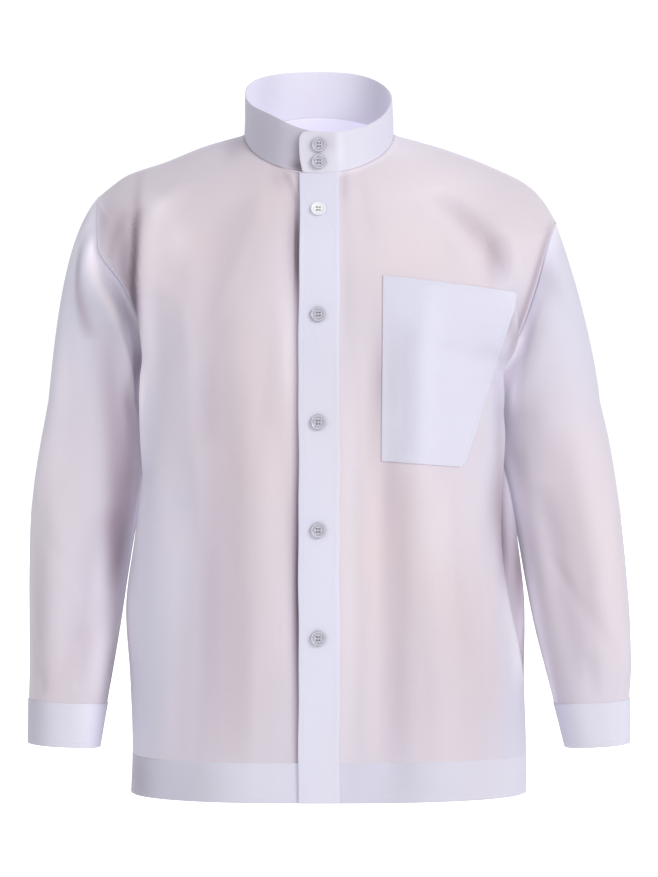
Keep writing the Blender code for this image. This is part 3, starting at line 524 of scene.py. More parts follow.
def cuffPoints(side, columns, heights):
    share, z = np.meshgrid(columns, heights)
    turn = 360 + cuff["overlap"]
    points = sleeveRing(side, np.radians(cuff["closing"] + turn * share), z)
    away = unit((points - cuffCentre(side)) * np.array([1, 1, 0]))
    out = cuff["proud"] - cuff["dip"] * ease((cuff["overlap"] + cuff["step"] - turn * share) / cuff["step"])
    return points + away * out[..., None]


def lengthsAlong(points, axis):
    steps = np.linalg.norm(np.diff(points, axis=axis), axis=-1)
    start = np.zeros_like(np.take(steps, [0], axis=axis))
    return np.concatenate([start, np.cumsum(steps, axis=axis)], axis=axis)


def cellCorners(grid):
    # the four corners of every cell of a grid
    return np.stack([grid[:-1, :-1], grid[:-1, 1:], grid[1:, 1:], grid[1:, :-1]], axis=2)


def closed(grid):
    return np.concatenate([grid, grid[:, :1]], axis=1)


def cellNumbers(points):
    return np.arange(points.shape[0] * points.shape[1]).reshape(points.shape[:2])


def addPiece(name, mesh):
    piece = bpy.data.objects.new(name, mesh)
    bpy.context.collection.objects.link(piece)
    return piece


def pointValues(mesh, values):
    for key, value in values.items():
        attribute = mesh.attributes.new(key, "FLOAT", "POINT")
        attribute.data.foreach_set("value", np.zeros(len(mesh.vertices)) + np.ravel(value))


def clothMesh(name, points, values, isRing=False, centre=(0, 0, 0)):
    # an open sheet of quads that face out, with its own map in metres and its own point values
    index, wrapped = cellNumbers(points), points
    if isRing:
        index, wrapped = closed(index), closed(points)
    along, down = lengthsAlong(wrapped, 1).mean(axis=0), lengthsAlong(wrapped, 0).mean(axis=1)
    u, v = np.meshgrid(along, down)
    quads, corners = cellCorners(index), cellCorners(np.stack([u, -v], axis=-1) * mm)
    start, right, under = wrapped[:-1, :-1], wrapped[:-1, 1:], wrapped[1:, :-1]
    middle = points.mean(axis=1, keepdims=True)[:-1] if isRing else np.array(centre, float)
    away = (start - middle) * np.array([1, 1, 0])
    if (np.cross(right - start, under - start) * away).sum() < 0:
        quads, corners = quads[..., ::-1], corners[:, :, ::-1]
    mesh = bpy.data.meshes.new(name)
    mesh.from_pydata((points.reshape(-1, 3) * mm).tolist(), [], quads.reshape(-1, 4).tolist())
    mesh.uv_layers.new(name="clothMap").data.foreach_set("uv", corners.reshape(-1))
    pointValues(mesh, values)
    mesh.shade_smooth()
    return addPiece(name, mesh)


def pick(piece):
    bpy.ops.object.select_all(action="DESELECT")
    piece.select_set(True)
    bpy.context.view_layer.objects.active = piece


def applyModifier(piece, kind, **settings):
    pick(piece)
    change = piece.modifiers.new("change", kind)
    for key, value in settings.items():
        setattr(change, key, value)
    bpy.ops.object.modifier_apply(modifier="change")


def bevel(piece, width, segments, degrees):
    applyModifier(piece, "BEVEL", width=width * mm, segments=segments, limit_method="ANGLE",
                  angle_limit=math.radians(degrees))


def thicken(piece, thick, rounded=0.0):
    outerCount = len(piece.data.vertices)
    applyModifier(piece, "SOLIDIFY", thickness=thick * mm, offset=-1)
    pointValues(piece.data, {"inside": np.arange(len(piece.data.vertices)) >= outerCount})
    if rounded:
        bevel(piece, rounded, 2, 50)
    piece.data.shade_smooth()


def dress(piece, material, *nodes, slot=None):
    piece.data.materials.clear()
    piece.data.materials.append(material)
    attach(piece, "root")
    if nodes:
        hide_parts(*nodes)


def feed(tree, socket, value):
    # a link from another node, a colour or a number
    if isinstance(value, bpy.types.NodeSocket):
        tree.links.new(value, socket)
    else:
        socket.default_value = (*value, 1) if socket.type == "RGBA" else value


def addNode(tree, kind, inputs=None, **settings):
    node = tree.nodes.new("ShaderNode" + kind)
    for key, value in settings.items():
        setattr(node, key, value)
    for key, value in (inputs or {}).items():
        feed(tree, node.inputs[key], value)
    return node


def mathNode(tree, operation, *values):
    return addNode(tree, "Math", dict(enumerate(values)), operation=operation).outputs[0]


def mixColour(tree, share, first, second, blend="MIX"):
    inputs = {0: share, 6: first, 7: second}
    return addNode(tree, "Mix", inputs, data_type="RGBA", blend_type=blend).outputs[2]


def mapRange(tree, value, low, high, start=0.0, end=1.0, kind="LINEAR"):
    inputs = dict(enumerate((value, start, end, low, high)))
    return addNode(tree, "MapRange", inputs, interpolation_type=kind).outputs[0]


def attributeValue(tree, name):
    return addNode(tree, "Attribute", attribute_name=name).outputs["Fac"]


def noiseAt(tree, place, **numbers):
    inputs = {key.title(): value for key, value in numbers.items()}
    return addNode(tree, "TexNoise", {"Vector": place, **inputs}).outputs["Fac"]


def newMaterial(name):
    material = bpy.data.materials.new(name)
    material.use_nodes = True
    return material, material.node_tree


def feedShader(tree, inputs):
    shader = tree.nodes["Principled BSDF"]
    for title, value in inputs.items():
        feed(tree, shader.inputs[title], value)


def newGroup(name, inputs, outputs):
    # inputs and outputs give the names of the sockets of each kind
    group = bpy.data.node_groups.new(name, "ShaderNodeTree")
    for way, kinds in (("INPUT", inputs), ("OUTPUT", outputs)):
        for kind, titles in kinds.items():
            for title in titles.split():
                group.interface.new_socket(title, in_out=way, socket_type="NodeSocket" + kind)
    given, result = group.nodes.new("NodeGroupInput"), group.nodes.new("NodeGroupOutput")
    return group, given.outputs, result.inputs


def weaveGroup():
    # plain weave: threads that cross over and under, with slubs along both ways
    group, given, result = newGroup(
        "plainWeave", {"Vector": "Map", "Float": "Pitch"}, {"Float": "Height Slub"})
    calc = partial(mathNode, group)
    split = addNode(group, "SeparateXYZ", {0: given["Map"]})
    waves = [calc("SINE", calc("MULTIPLY", calc("DIVIDE", split.outputs[k], given["Pitch"]), math.pi))
             for k in range(2)]
    feed(group, result["Height"], calc("ADD", calc("MULTIPLY", calc("MULTIPLY", *waves), 0.5), 0.5))
    slubs = []
    for stretch in ((900, 14, 1), (14, 900, 1)):
        place = addNode(group, "Mapping", {0: given["Map"], "Scale": stretch}).outputs[0]
        slubs.append(noiseAt(group, place, scale=1.0, detail=2.0))
    feed(group, result["Slub"], calc("MULTIPLY", calc("ADD", *slubs), 0.5))
    return group


# how strongly clouds, the painted light on ridges, the painted shade in valleys and slubs show in the colour,
# and how far the painted light and shade can go
toneShares = dict(cloud=0.7, ridge=0.03, valley=0.045, lightest=0.9, deepest=0.92, beyond=0.6, slub=0.05)


def toneGroup():
    # colour of the cloth from how warm each place is, painted light on ridges and where the shade is below 0,
    # painted shade in valleys and where the shade is above 0, and how close to a seam it is
    group, given, result = newGroup(
        "clothTone", {"Color": "Cool Warm Deep Double Light",
                      "Float": "Warmth Crease Shade Allowance Slub Cloud"}, {"Color": "Color"})
    calc = partial(mathNode, group)
    cloud = calc("MULTIPLY", calc("SUBTRACT", given["Cloud"], 0.5), toneShares["cloud"])
    warmth = calc("MAXIMUM", calc("MINIMUM", calc("ADD", given["Warmth"], cloud), 1.0), 0.0)
    colour = mixColour(group, warmth, given["Cool"], given["Warm"])
    ridge = calc("MULTIPLY", calc("MAXIMUM", given["Crease"], 0.0), toneShares["ridge"])
    light = calc("SUBTRACT", ridge, calc("MINIMUM", given["Shade"], 0.0))
    colour = mixColour(group, calc("MINIMUM", light, toneShares["lightest"]), colour, given["Light"])
    valley = calc("MULTIPLY", calc("MINIMUM", given["Crease"], 0.0), -toneShares["valley"])
    deep = calc("ADD", valley, calc("MAXIMUM", given["Shade"], 0.0))
    colour = mixColour(group, calc("MINIMUM", deep, toneShares["deepest"]), colour, given["Deep"])
    colour = mixColour(group, given["Allowance"], colour, given["Double"])
    # shade beyond the deepest share darkens the whole colour
    beyond = calc("MAXIMUM", calc("SUBTRACT", deep, toneShares["deepest"]), 0.0)
    tint = calc("MULTIPLY", calc("SUBTRACT", given["Slub"], 0.5), toneShares["slub"])
    tint = calc("SUBTRACT", calc("ADD", tint, 1.0), calc("MINIMUM", beyond, toneShares["beyond"]))
    grey = addNode(group, "CombineColor", dict.fromkeys(range(3), tint)).outputs[0]
    feed(group, result["Color"], mixColour(group, 1.0, colour, grey, "MULTIPLY"))
    return group


weave = weaveGroup()
tone = toneGroup()


def clothMaterial(name, look):
    material, tree = newMaterial(name)
    calc, value = partial(mathNode, tree), partial(attributeValue, tree)
    place = addNode(tree, "TexCoord").outputs["Object"]
    ownMap = addNode(tree, "UVMap", uv_map="clothMap").outputs[0]
    threads = addNode(tree, "Group", node_tree=weave)
    feed(tree, threads.inputs["Map"], ownMap)
    feed(tree, threads.inputs["Pitch"], look["pitch"])
    slub = threads.outputs["Slub"]

    inside = value("inside")
    outside = calc("SUBTRACT", 1.0, inside)
    innerShade = calc("MULTIPLY", value("innerShade"), inside)
    edge, soft = look["allowance"], look["allowanceSoft"]
    colour = addNode(tree, "Group", node_tree=tone)
    parts = {title: look[title.lower()] for title in ("Cool", "Warm", "Deep", "Double", "Light")}
    parts |= {title: value(title.lower()) for title in ("Warmth", "Crease")}
    parts["Shade"] = calc("ADD", calc("MULTIPLY", value("shade"), outside), innerShade)
    parts["Allowance"] = mapRange(
        tree, value("seam"), look["doubling"], 0.0, edge - soft, edge + soft, "SMOOTHSTEP")
    parts["Slub"] = slub
    parts["Cloud"] = noiseAt(tree, place, scale=look["cloudScale"], detail=2.0)
    for title, part in parts.items():
        feed(tree, colour.inputs[title], part)

    # painted light: the inner face glows as if light came through the cloth from outside, less where the
    # painted inner shade is, and the outer face glows by its glow value
    dimmed = calc("MULTIPLY", inside, calc("SUBTRACT", 1.0, innerShade))
    glow = calc("ADD", dimmed, calc("MULTIPLY", value("glow"), outside))

    stretched = addNode(tree, "Mapping", {0: place, "Scale": (1.0, 1.0, 0.35)}).outputs[0]
    crumple = noiseAt(tree, stretched, scale=look["crumpleScale"], detail=3.0)
    softBump = addNode(tree, "Bump", {"Strength": 1.0, "Distance": look["crumple"], "Height": crumple})
    fineBump = addNode(tree, "Bump", {
        "Strength": look["weaveStrength"], "Distance": look["weaveHeight"],
        "Height": threads.outputs["Height"], "Normal": softBump.outputs[0]})
    feedShader(tree, {
        "Base Color": colour.outputs[0], "Normal": fineBump.outputs[0],
        "Emission Color": mixColour(tree, glow, (0.0, 0.0, 0.0), look["inner"]),
        "Emission Strength": look["glow"], "Sheen Weight": look["sheen"], "Sheen Roughness": 0.4,
        "Roughness": mapRange(tree, slub, look["roughness"] - 0.06, look["roughness"] + 0.06),
        "Specular IOR Level": 0.35})
    return material


# in each look the darkest colour and the light colour are painted shade and painted light, and inner and glow
# give the colour and strength of the painted glow
sheerLook = dict(
    cool=(0.60, 0.585, 0.695), warm=(0.675, 0.575, 0.60), deep=(0.36, 0.29, 0.36),
    double=(0.72, 0.71, 0.84), light=(0.80, 0.74, 0.81), inner=(0.82, 0.81, 0.93), glow=0.36,
    pitch=0.0005, weaveStrength=0.06, weaveHeight=0.0001, cloudScale=5.0, crumple=0.0022,
    crumpleScale=11.0, roughness=0.62, sheen=0.2, allowance=8.5, allowanceSoft=0.4, doubling=0.35)
bandLook = dict(
    sheerLook, cool=(0.655, 0.655, 0.78), warm=(0.685, 0.655, 0.74), deep=(0.34, 0.30, 0.36),
    double=(0.80, 0.80, 0.93), light=(0.82, 0.81, 0.94), glow=0.12, crumple=0.001,
    crumpleScale=16.0, allowance=0.0, doubling=0.0)
sheerCloth = clothMaterial("sheerCloth", sheerLook)
bandCloth = clothMaterial("bandCloth", bandLook)
print("materials made")

# body
detail = dict(columns=5, lowRow=0.1, highRow=0.2, sheerThick=0.5, hemProud=0.2, hemThick=1.3, tuck=1.2,
              hemRows=12, capRows=40, sleeveRows=88, plainWarmth=0.38, farSeam=50.0)
fineRows = np.concatenate([[bandTop - 0.03], np.arange(bandTop, underarm, detail["lowRow"]),
                           np.arange(underarm, neck + 0.01, detail["highRow"])])
hemRows = np.linspace(hemRow, bandTop, detail["hemRows"] + 1)
sideColumns = np.linspace(0, 1, 14 * detail["columns"] + 1)
underColumns = np.concatenate([np.linspace(-1, 0, 3 * detail["columns"] + 1)[:-1], sideColumns])
tuckedColumns = np.concatenate([[-0.1, -0.05], sideColumns])
backColumns = np.linspace(0, 1, 12 * detail["columns"] + 1)
frontColumns = {-1: ("right_front", underColumns), 1: ("left_front", tuckedColumns)}

# places that are cooler or warmer, and places of painted shade (above 0) or painted light (below 0); x and z
# in mm on the fronts
patchColumns = "across z halfAcross halfZ amount"
frontWarmth = {
    -1: table(
        patchColumns,
        (60, -330, 50, 230, 0.5), (150, -120, 60, 70, 0.35), (150, -420, 40, 160, -0.2),
        (183, -300, 12, 130, -0.5), (175, -560, 22, 120, -0.4), (40, -70, 40, 50, 0.2)),
    1: table(
        patchColumns,
        (90, -120, 80, 90, 0.5), (60, -430, 60, 200, 0.45), (140, -500, 40, 130, 0.3),
        (190, -330, 16, 130, -0.8), (200, -600, 20, 90, -0.5), (200, -110, 50, 60, 0.2))}
frontShade = {
    -1: table(
        patchColumns,
        (184, -120, 4.5, 60, 0.95), (185.5, -190, 5.5, 42, 1.15), (193, -160, 9, 60, 0.7),
        (182, -258, 6, 26, -1.0), (214, -92, 12, 22, 0.35), (192, -500, 8, 50, -0.3),
        (30, -225, 5, 60, -0.25), (167, -78, 12, 14, -0.5), (88, -20, 10, 12, 0.3),
        (24, -470, 5, 80, 0.4), (26, -120, 6, 50, 0.5), (140, -115, 12, 22, -0.3),
        (136, -155, 9, 40, 0.12), (170, -215, 7, 40, -0.3), (184, -345, 8, 100, -0.6),
        (98, -255, 8, 40, -0.25), (37, -185, 7, 70, -0.3), (69, -105, 14, 50, 0.14),
        (114, -455, 18, 160, 0.2), (151, -370, 12, 60, -0.15), (66, -420, 15, 150, -0.15),
        (21.8, -125, 2.6, 58, 1.5), (21.8, -450, 2.6, 230, 1.45), (28, -400, 5, 60, 0.25),
        (177, -140, 7, 50, 0.2), (133, -560, 12, 130, 0.13), (103, -500, 10, 150, 0.1),
        (160, -440, 14, 100, -0.2), (145, -420, 16, 60, -0.1), (38, -50, 9, 12, 0.3)),
    1: table(
        patchColumns,
        (31, -430, 9, 220, -0.45), (96, -95, 70, 62, -0.3), (54, -275, 5, 60, 0.15),
        (182, -310, 6, 45, 0.4), (178, -380, 9, 45, 0.6), (187, -430, 7, 35, 0.55),
        (205, -450, 9, 45, 0.9), (80, -15, 40, 18, -0.4), (202, -405, 7, 50, 0.55),
        (184, -390, 6, 60, 0.4), (203, -530, 8, 40, -0.3), (110, -560, 14, 100, 0.1),
        (170, -580, 25, 90, 0.1), (130, -50, 60, 35, -0.22), (60, -255, 4, 45, 0.45),
        (125, -400, 25, 50, -0.12), (140, -520, 45, 110, 0.12), (175, -135, 9, 26, 0.35),
        (26, -58, 5, 22, 0.3), (31, -180, 8, 60, 0.2), (70, -330, 8, 90, 0.22),
        (193, -196, 5, 24, 0.5))}
# bands of painted shade that run with the folds of the fronts, in the fold columns
frontBands = {
    -1: table(foldColumns, (-70, 200, -235, 186, 4, 7, 0.2)),
    1: table(foldColumns, (-88, 239, -238, 191, 0, 4, 0.75))}
backWarmth = table(
    patchColumns,
    (0, -300, 90, 230, 0.45), (-130, -420, 50, 160, 0.3), (140, -300, 50, 170, 0.3),
    (0, 20, 90, 45, -0.8), (-230, -350, 40, 250, -0.4), (230, -350, 40, 250, -0.4))
sleeveWarmth = table(
    patchColumns,
    (60, -420, 40, 140, 0.3), (250, -380, 60, 170, 0.3), (10, -300, 40, 250, -0.2),
    (150, -400, 40, 250, 0.1), (55, -150, 70, 90, -0.35))
sleeveShade = {
    -1: table(
        patchColumns,
        (40, -110, 25, 40, -0.3), (50, -270, 18, 100, -0.55), (118, -455, 12, 40, -0.45),
        (150, -425, 10, 40, 0.35), (136, -540, 18, 60, -0.6), (50, -500, 16, 90, 0.28),
        (175, -375, 9, 80, -0.8), (160, -264, 16, 24, -0.9)),
    1: table(
        patchColumns,
        (125, -190, 18, 40, -0.6), (152, -270, 18, 60, -0.6), (160, -380, 16, 80, -0.6),
        (164, -500, 12, 70, -1.3), (168, -575, 11, 50, -0.7), (108, -290, 13, 60, 0.15),
        (127, -188, 13, 40, -0.9), (128, -400, 16, 75, -0.7), (150, -470, 12, 60, -0.5),
        (68, -140, 12, 35, 0.3), (135, -240, 16, 38, -0.9))}
# long bands of painted shade (above 0) or painted light (below 0) that run with the folds, in their columns,
# with the amount as the rise
sleeveBands = {
    -1: table(
        foldColumns,
        (-85, 50, -262, 146, -8, 6, -0.75), (-130, 89, -254, 162, -12, 8, 0.8),
        (-150, 110, -256, 178, -12, 13, 0.5), (-95, 44, -215, 82, 0, 6, 0.7),
        (-190, 92, -470, 138, 0, 13, 0.65), (-220, 130, -520, 150, 0, 15, 0.7)),
    1: table(
        foldColumns,
        (-120, 90, -262, 150, 0, 8, -0.4), (-300, 92, -520, 80, 0, 10, 0.15))}
# painted shade and painted light on the collar, outside and inside: the collar's places are degrees round
# from its front, and height
collarShade = table(
    patchColumns,
    (-45, 24, 42, 60, 0.58), (-16, 14, 9, 20, 0.6), (-350, 33, 10, 14, 0.28),
    (-340.5, 24, 3.5, 30, -0.35), (-20, 4, 6, 6, 0.6), (-300, 20, 25, 40, 0.08))
collarInnerShade = table(patchColumns, (-243, 30, 26, 60, 0.42), (-128, 32, 20, 40, 0.22))
pocketShade = table(
    patchColumns,
    (72, -260, 10, 75, 0.28), (130, -250, 120, 150, 0.06), (168, -230, 20, 60, 0.05))
placketShade = table(
    patchColumns,
    (0, -520, 60, 170, -0.25), (0, -130, 60, 60, -0.15), (-18, -130, 3, 60, -0.3))
hemShade = table(
    patchColumns,
    (-184, -658, 18, 60, 0.6), (-125, -660, 40, 60, 0.2), (84, -660, 28, 60, 0.22),
    (-60, -640, 60, 60, -0.1))


def patches(rows, across, z, turn=1e6):
    # turn is where the places across come round again
    total = np.zeros(np.broadcast(across, z).shape)
    for k in range(len(rows["amount"])):
        one = {name: column[k] for name, column in rows.items()}
        beside = (across - one["across"] + turn / 2) % turn - turn / 2
        spread = (beside / one["halfAcross"]) ** 2 + ((z - one["z"]) / one["halfZ"]) ** 2
        total += one["amount"] * np.exp(-spread)
    return total


def panelValues(points, rise, across, warmth, shade, seam, bands=None, turn=1e6):
    z = points[..., 2]
    shades = patches(shade, across, z, turn) if shade else 0.0 * z
    if bands:
        shades = shades + foldRise(bands, across, z)
    return {"warmth": detail["plainWarmth"] + patches(warmth, across, z, turn), "crease": rise,
            "shade": shades, "seam": seam, "innerShade": 0.0, "glow": 0.0}


def bandValues(warmth, shade=0.0, innerShade=0.0, glow=0.0):
    # the seam is far off, so a band shows no allowance
    return {"warmth": warmth, "crease": 0.0, "shade": shade, "seam": detail["farSeam"],
            "innerShade": innerShade, "glow": glow}


def gridTree(grid):
    quads = cellCorners(cellNumbers(grid)).reshape(-1, 4)
    return BVHTree.FromPolygons(grid.reshape(-1, 3).tolist(), quads.tolist())


def nearness(points, trees, reach):
    # 1 where another panel touches, 0 from the reach on
    gaps = np.full(points[..., 0].size, float(reach))
    for tree in trees:
        for k, point in enumerate(points.reshape(-1, 3)):
            gap = tree.find_nearest(Vector(point), reach)[3]
            if gap is not None:
                gaps[k] = min(gaps[k], gap)
    return ease(1 - gaps.reshape(points.shape[:2]) / reach)


def lineNearness(points, line, reach):
    gaps = [np.linalg.norm(line - point, axis=1).min() for point in points.reshape(-1, 3)]
    return ease(1 - np.array(gaps).reshape(points.shape[:2]) / reach)


def edgeDistance(points, edges):
    # distance from the panel's seams, measured along its own rows and columns
    along, down = lengthsAlong(points, 1), lengthsAlong(points, 0)
    ways = {"start": along, "end": along[:, -1:] - along, "bottom": down, "top": down[-1:] - down}
    return np.min([ways[edge] for edge in edges], axis=0)


ringSteps = np.arange(0, ring, 1 / 5)
capShares = np.linspace(0, 1, detail["capRows"] + 1)[:-1]
sleeveLevels = np.append(np.linspace(sleeve["capZ"], cuff["top"], detail["sleeveRows"] + 1),
                         cuff["top"] - detail["tuck"])
sleeveForms = {side: sleevePoints(side, ringSteps, capShares, sleeveLevels) for side in (-1, 1)}
sleeveTrees = {side: gridTree(form[0]) for side, form in sleeveForms.items()}
# painted light: how strongly the cloth glows near other pieces, where painted light is, near the neck, by the
# placket's edge and at the collar's foot; it stands in for light through the sheer cloth and lifts the shade
# between parts
paintedGlow = dict(reach=22.0, sleeve={-1: 0.4, 1: 0.42}, body={-1: 0.24, 1: 0.1}, back=0.15,
                    neck=0.5, neckReach=8.0, lift=0.2, sleeveLift=0.32, opening=0.12,
                    openingX=21.0, openingHalf=4.0, collarLow=5.0, collarX=20.0)


def addSheer(node, points, values, isRing=False):
    piece = clothMesh(node + "_cloth", points, values, isRing)
    thicken(piece, detail["sheerThick"])
    dress(piece, sheerCloth, node)


def addBand(node, points, values, thick, rounded, centre=(0, 0, 0)):
    piece = clothMesh(node + "_cloth", points, values, centre=centre)
    thicken(piece, thick, rounded)
    dress(piece, bandCloth, node)


fronts = {}
for side, (name, columns) in frontColumns.items():
    points, rise = frontPoints(side, columns, fineRows)
    values = panelValues(points, rise, side * points[..., 0], frontWarmth[side], frontShade[side],
                         edgeDistance(points, ("end",)), frontBands[side])
    # painted light: each front glows near its sleeve and where painted light is; the left front also glows
    # near the neck seam and along the placket's right edge
    glow = paintedGlow["body"][side] * nearness(points, [sleeveTrees[side]], paintedGlow["reach"])
    glow = glow + paintedGlow["lift"] * np.maximum(-values["shade"], 0)
    if side > 0:
        neckLine = neckSeam(np.linspace(0, 2 * math.pi, 90))
        glow += paintedGlow["neck"] * lineNearness(points, neckLine, paintedGlow["neckReach"])
        fromOpening = (points[..., 0] - paintedGlow["openingX"]) / paintedGlow["openingHalf"]
        glow += paintedGlow["opening"] * np.exp(-(fromOpening ** 2))
    values["glow"] = glow
    fronts[side] = points, rise
    addSheer(name, points, values)

backGrid, rise, across = backPoints(backColumns, fineRows)
values = panelValues(backGrid, rise, across, backWarmth, None, edgeDistance(backGrid, ("start", "end")))
# painted light: the back glows near the sleeves
values["glow"] = paintedGlow["back"] * nearness(backGrid, sleeveTrees.values(), paintedGlow["reach"])
addSheer("back", backGrid, values)
print("body made")

# hems, shaded less towards the side seam
hem = dict(height=0.041, rounded=0.4, shadeFrom=25.0, shadeRun=50.0)
hemGrids = {f"{name}_hem": frontPoints(side, columns, hemRows)[0]
            for side, (name, columns) in frontColumns.items()}
hemGrids["back_hem"] = backPoints(backColumns, hemRows)[0]
for name, grid in hemGrids.items():
    points = grid + surfaceNormals(grid) * detail["hemProud"]
    hemGrids[name] = points
    x, y, z = np.moveaxis(points, -1, 0)
    cloudy = 0.35 + 0.3 * np.sin(x / 37) * np.cos(y / 29)
    shade = 0.12 + 0.04 * np.sin(x / 23 + 1)
    shade += patches(hemShade, x, z) * ease((hem["shadeFrom"] - y) / hem["shadeRun"])
    addBand(name, points, bandValues(cloudy, shade), detail["hemThick"],
            hem["rounded"])

# sleeves and cuffs
cuffGrids = {}
backTree = gridTree(backGrid)
for side, name in ((-1, "right"), (1, "left")):
    points, rise, across = sleeveForms[side]
    values = panelValues(points, rise, across, sleeveWarmth, sleeveShade[side], detail["farSeam"],
                         sleeveBands[side], turn=360)
    # painted light: the sleeve glows near the body and where painted light is
    near = nearness(points, [gridTree(fronts[side][0]), backTree], paintedGlow["reach"])
    lifted = paintedGlow["sleeveLift"] * np.maximum(-values["shade"], 0)
    values["glow"] = paintedGlow["sleeve"][side] * near + lifted
    addSheer(f"{name}_sleeve", points, values, isRing=True)

    heights = np.linspace(cuff["top"], cuff["end"], cuff["rows"] + 1)
    points = cuffPoints(side, np.linspace(0, 1, cuff["columns"] + 1), heights)
    cuffGrids[side] = points
    x = points[..., 0]
    cloudy = 0.3 + 0.3 * np.sin(x / 17 + points[..., 1] / 23)
    inner = np.exp(-(((x - side * cuff["innerX"]) / cuff["innerHalf"]) ** 2))
    outer = np.exp(-(((x - side * cuff["outerX"]) / cuff["outerHalf"]) ** 2))
    shade = cuff["outerShade"][side] * outer - cuff["innerLight"] * inner
    addBand(f"{name}_cuff", points, bandValues(cloudy, shade, glow=cuff["innerGlow"] * inner),
            cuff["thick"], cuff["rounded"], cuffCentre(side))
print("sleeves and cuffs made")

# placket: its edges wander a little, and the top is a touch narrower
edgeX = placket["centre"] - placket["width"] / 2, placket["centre"] + placket["width"] / 2
placketGrid = placketPoints(np.linspace(*edgeX, 13), np.concatenate([hemRows, fineRows[2:]]))
z = placketGrid[..., 2]
alongEdge = (placketGrid[..., 0] - placket["centre"]) / placket["width"] * 2
wander = 0.35 * np.sin(z / 31) + 0.25 * np.sin(z / 13 + 2)
rightIn = placket["edgeIn"] + placket["topIn"] * ease((z - placket["topFrom"]) / placket["topRun"])
placketGrid[..., 0] += wander * alongEdge ** 2 - np.maximum(alongEdge, 0) * placket["edgeIn"]
placketGrid[..., 0] -= np.minimum(alongEdge, 0) * rightIn
x = placketGrid[..., 0]
cloudy = 0.25 + 0.25 * np.sin(z / 61) + 0.01 * x
shade = 0.04 * np.sin(z / 47 + x / 20) + patches(placketShade, x, z)
addBand("placket", placketGrid, bandValues(cloudy, shade), placket["thick"], 0.35)

# collar
collarHeights = np.linspace(0, collar["height"], collar["rows"] + 1)
collarGrid, collarTurn = collarPoints(np.linspace(0, 1, collar["columns"] + 1), collarHeights)
height = collarHeights[:, None] + collarTurn * 0
x = collarGrid[..., 0]
cloudy = 0.35 + 0.25 * np.sin(x / 23 + 1) + 0.2 * (x < 0)
# painted light: the collar glows at its foot on the wearer's left side
values = bandValues(
    cloudy, patches(collarShade, collarTurn, height), patches(collarInnerShade, collarTurn, height),
    paintedGlow["neck"] * ease(1 - height / paintedGlow["collarLow"]) * (x > paintedGlow["collarX"]))
addBand("collar", collarGrid, values, collar["thick"], 0.4)
print("placket and collar made")

# pocket: cut out of the left front's own form
pocket = dict(off=0.35, thick=0.9, rounded=0.25, weld=0.4, highest=-100.0, below=30.0)


def cutPocket():
    points, rise = fronts[1]
    rows, columns = points.shape[:2]
    normals = surfaceNormals(points)
    near = points[..., 2] > pocketCorners[5][1] - pocket["below"]
    cut = bmesh.new()
    layers = {key: cut.verts.layers.float.new(key) for key in ("nx", "ny", "nz", "crease")}
    made = {}
    for r in range(rows - 1):
        if not (near[r].any() and points[r, :, 2].min() < pocket["highest"]):
            continue
        for c in range(columns - 1):
            corners = ((r, c), (r, c + 1), (r + 1, c + 1), (r + 1, c))
            for corner in corners:
                if corner not in made:
                    vert = cut.verts.new(points[corner])
                    vert[layers["nx"]], vert[layers["ny"]], vert[layers["nz"]] = normals[corner]
                    vert[layers["crease"]] = rise[corner]
                    made[corner] = vert
            cut.faces.new([made[corner] for corner in corners])
    corners = [np.array(corner, float) for corner in pocketCorners]
    for start, end in zip(corners, corners[1:] + corners[:1]):
        run = end - start
        bmesh.ops.bisect_plane(
            cut, geom=cut.verts[:] + cut.edges[:] + cut.faces[:], dist=0.01,
            plane_co=(start[0], 0, start[1]), plane_no=(-run[1], 0, run[0]), clear_outer=True)
    bmesh.ops.remove_doubles(cut, verts=cut.verts, dist=pocket["weld"])
    for vert in cut.verts:
        normal = Vector((vert[layers["nx"]], vert[layers["ny"]], vert[layers["nz"]])).normalized()
        vert.co = (vert.co + normal * (pocket["off"] + pocket["thick"])) * mm
    bmesh.ops.recalc_face_normals(cut, faces=cut.faces)
    if sum(face.normal.y for face in cut.faces) > 0:
        bmesh.ops.reverse_faces(cut, faces=cut.faces)
    layer = cut.loops.layers.uv.new("clothMap")
    for face in cut.faces:
        for loop in face.loops:
            loop[layer].uv = (loop.vert.co.x, loop.vert.co.z)
    mesh = bpy.data.meshes.new("pocket_cloth")
    cut.to_mesh(mesh)
    cut.free()
    places = np.array([vert.co for vert in mesh.vertices]) / mm
    values = bandValues(0.25, patches(pocketShade, places[:, 0], places[:, 2]))
    values.pop("crease")
    pointValues(mesh, values)
    return addPiece("pocket_cloth", mesh)


pocketPiece = cutPocket()
pocketTree = BVHTree.FromObject(pocketPiece, bpy.context.evaluated_depsgraph_get())
thicken(pocketPiece, pocket["thick"], pocket["rounded"])
dress(pocketPiece, bandCloth, "pocket")
print("pocket made")

# stitching
stitch = dict(pitch=2.7, length=1.9, halfWidth=0.24, height=0.22, placket=5.0, pocket=2.2, hem=2.0,
              collar={"bottom": 2.0, "top": 4.5}, cuff={"bottom": 2.0, "top": 5.0}, seam=1.6,
              allowance=8.0)


def insetLine(grid, edge, inset, centre=(0, 0, 0)):
    normals = surfaceNormals(grid, centre=centre)
    if edge in ("start", "end"):
        grid, normals = np.swapaxes(grid, 0, 1), np.swapaxes(normals, 0, 1)
    if edge in ("end", "top"):
        grid, normals = grid[::-1], normals[::-1]
    down = lengthsAlong(grid, 0)
    line, facing = [], []
    for k in range(grid.shape[1]):
        line.append([np.interp(inset, down[:, k], grid[:, k, axis]) for axis in range(3)])
        facing.append([np.interp(inset, down[:, k], normals[:, k, axis]) for axis in range(3)])
    return np.array(line), unit(np.array(facing))


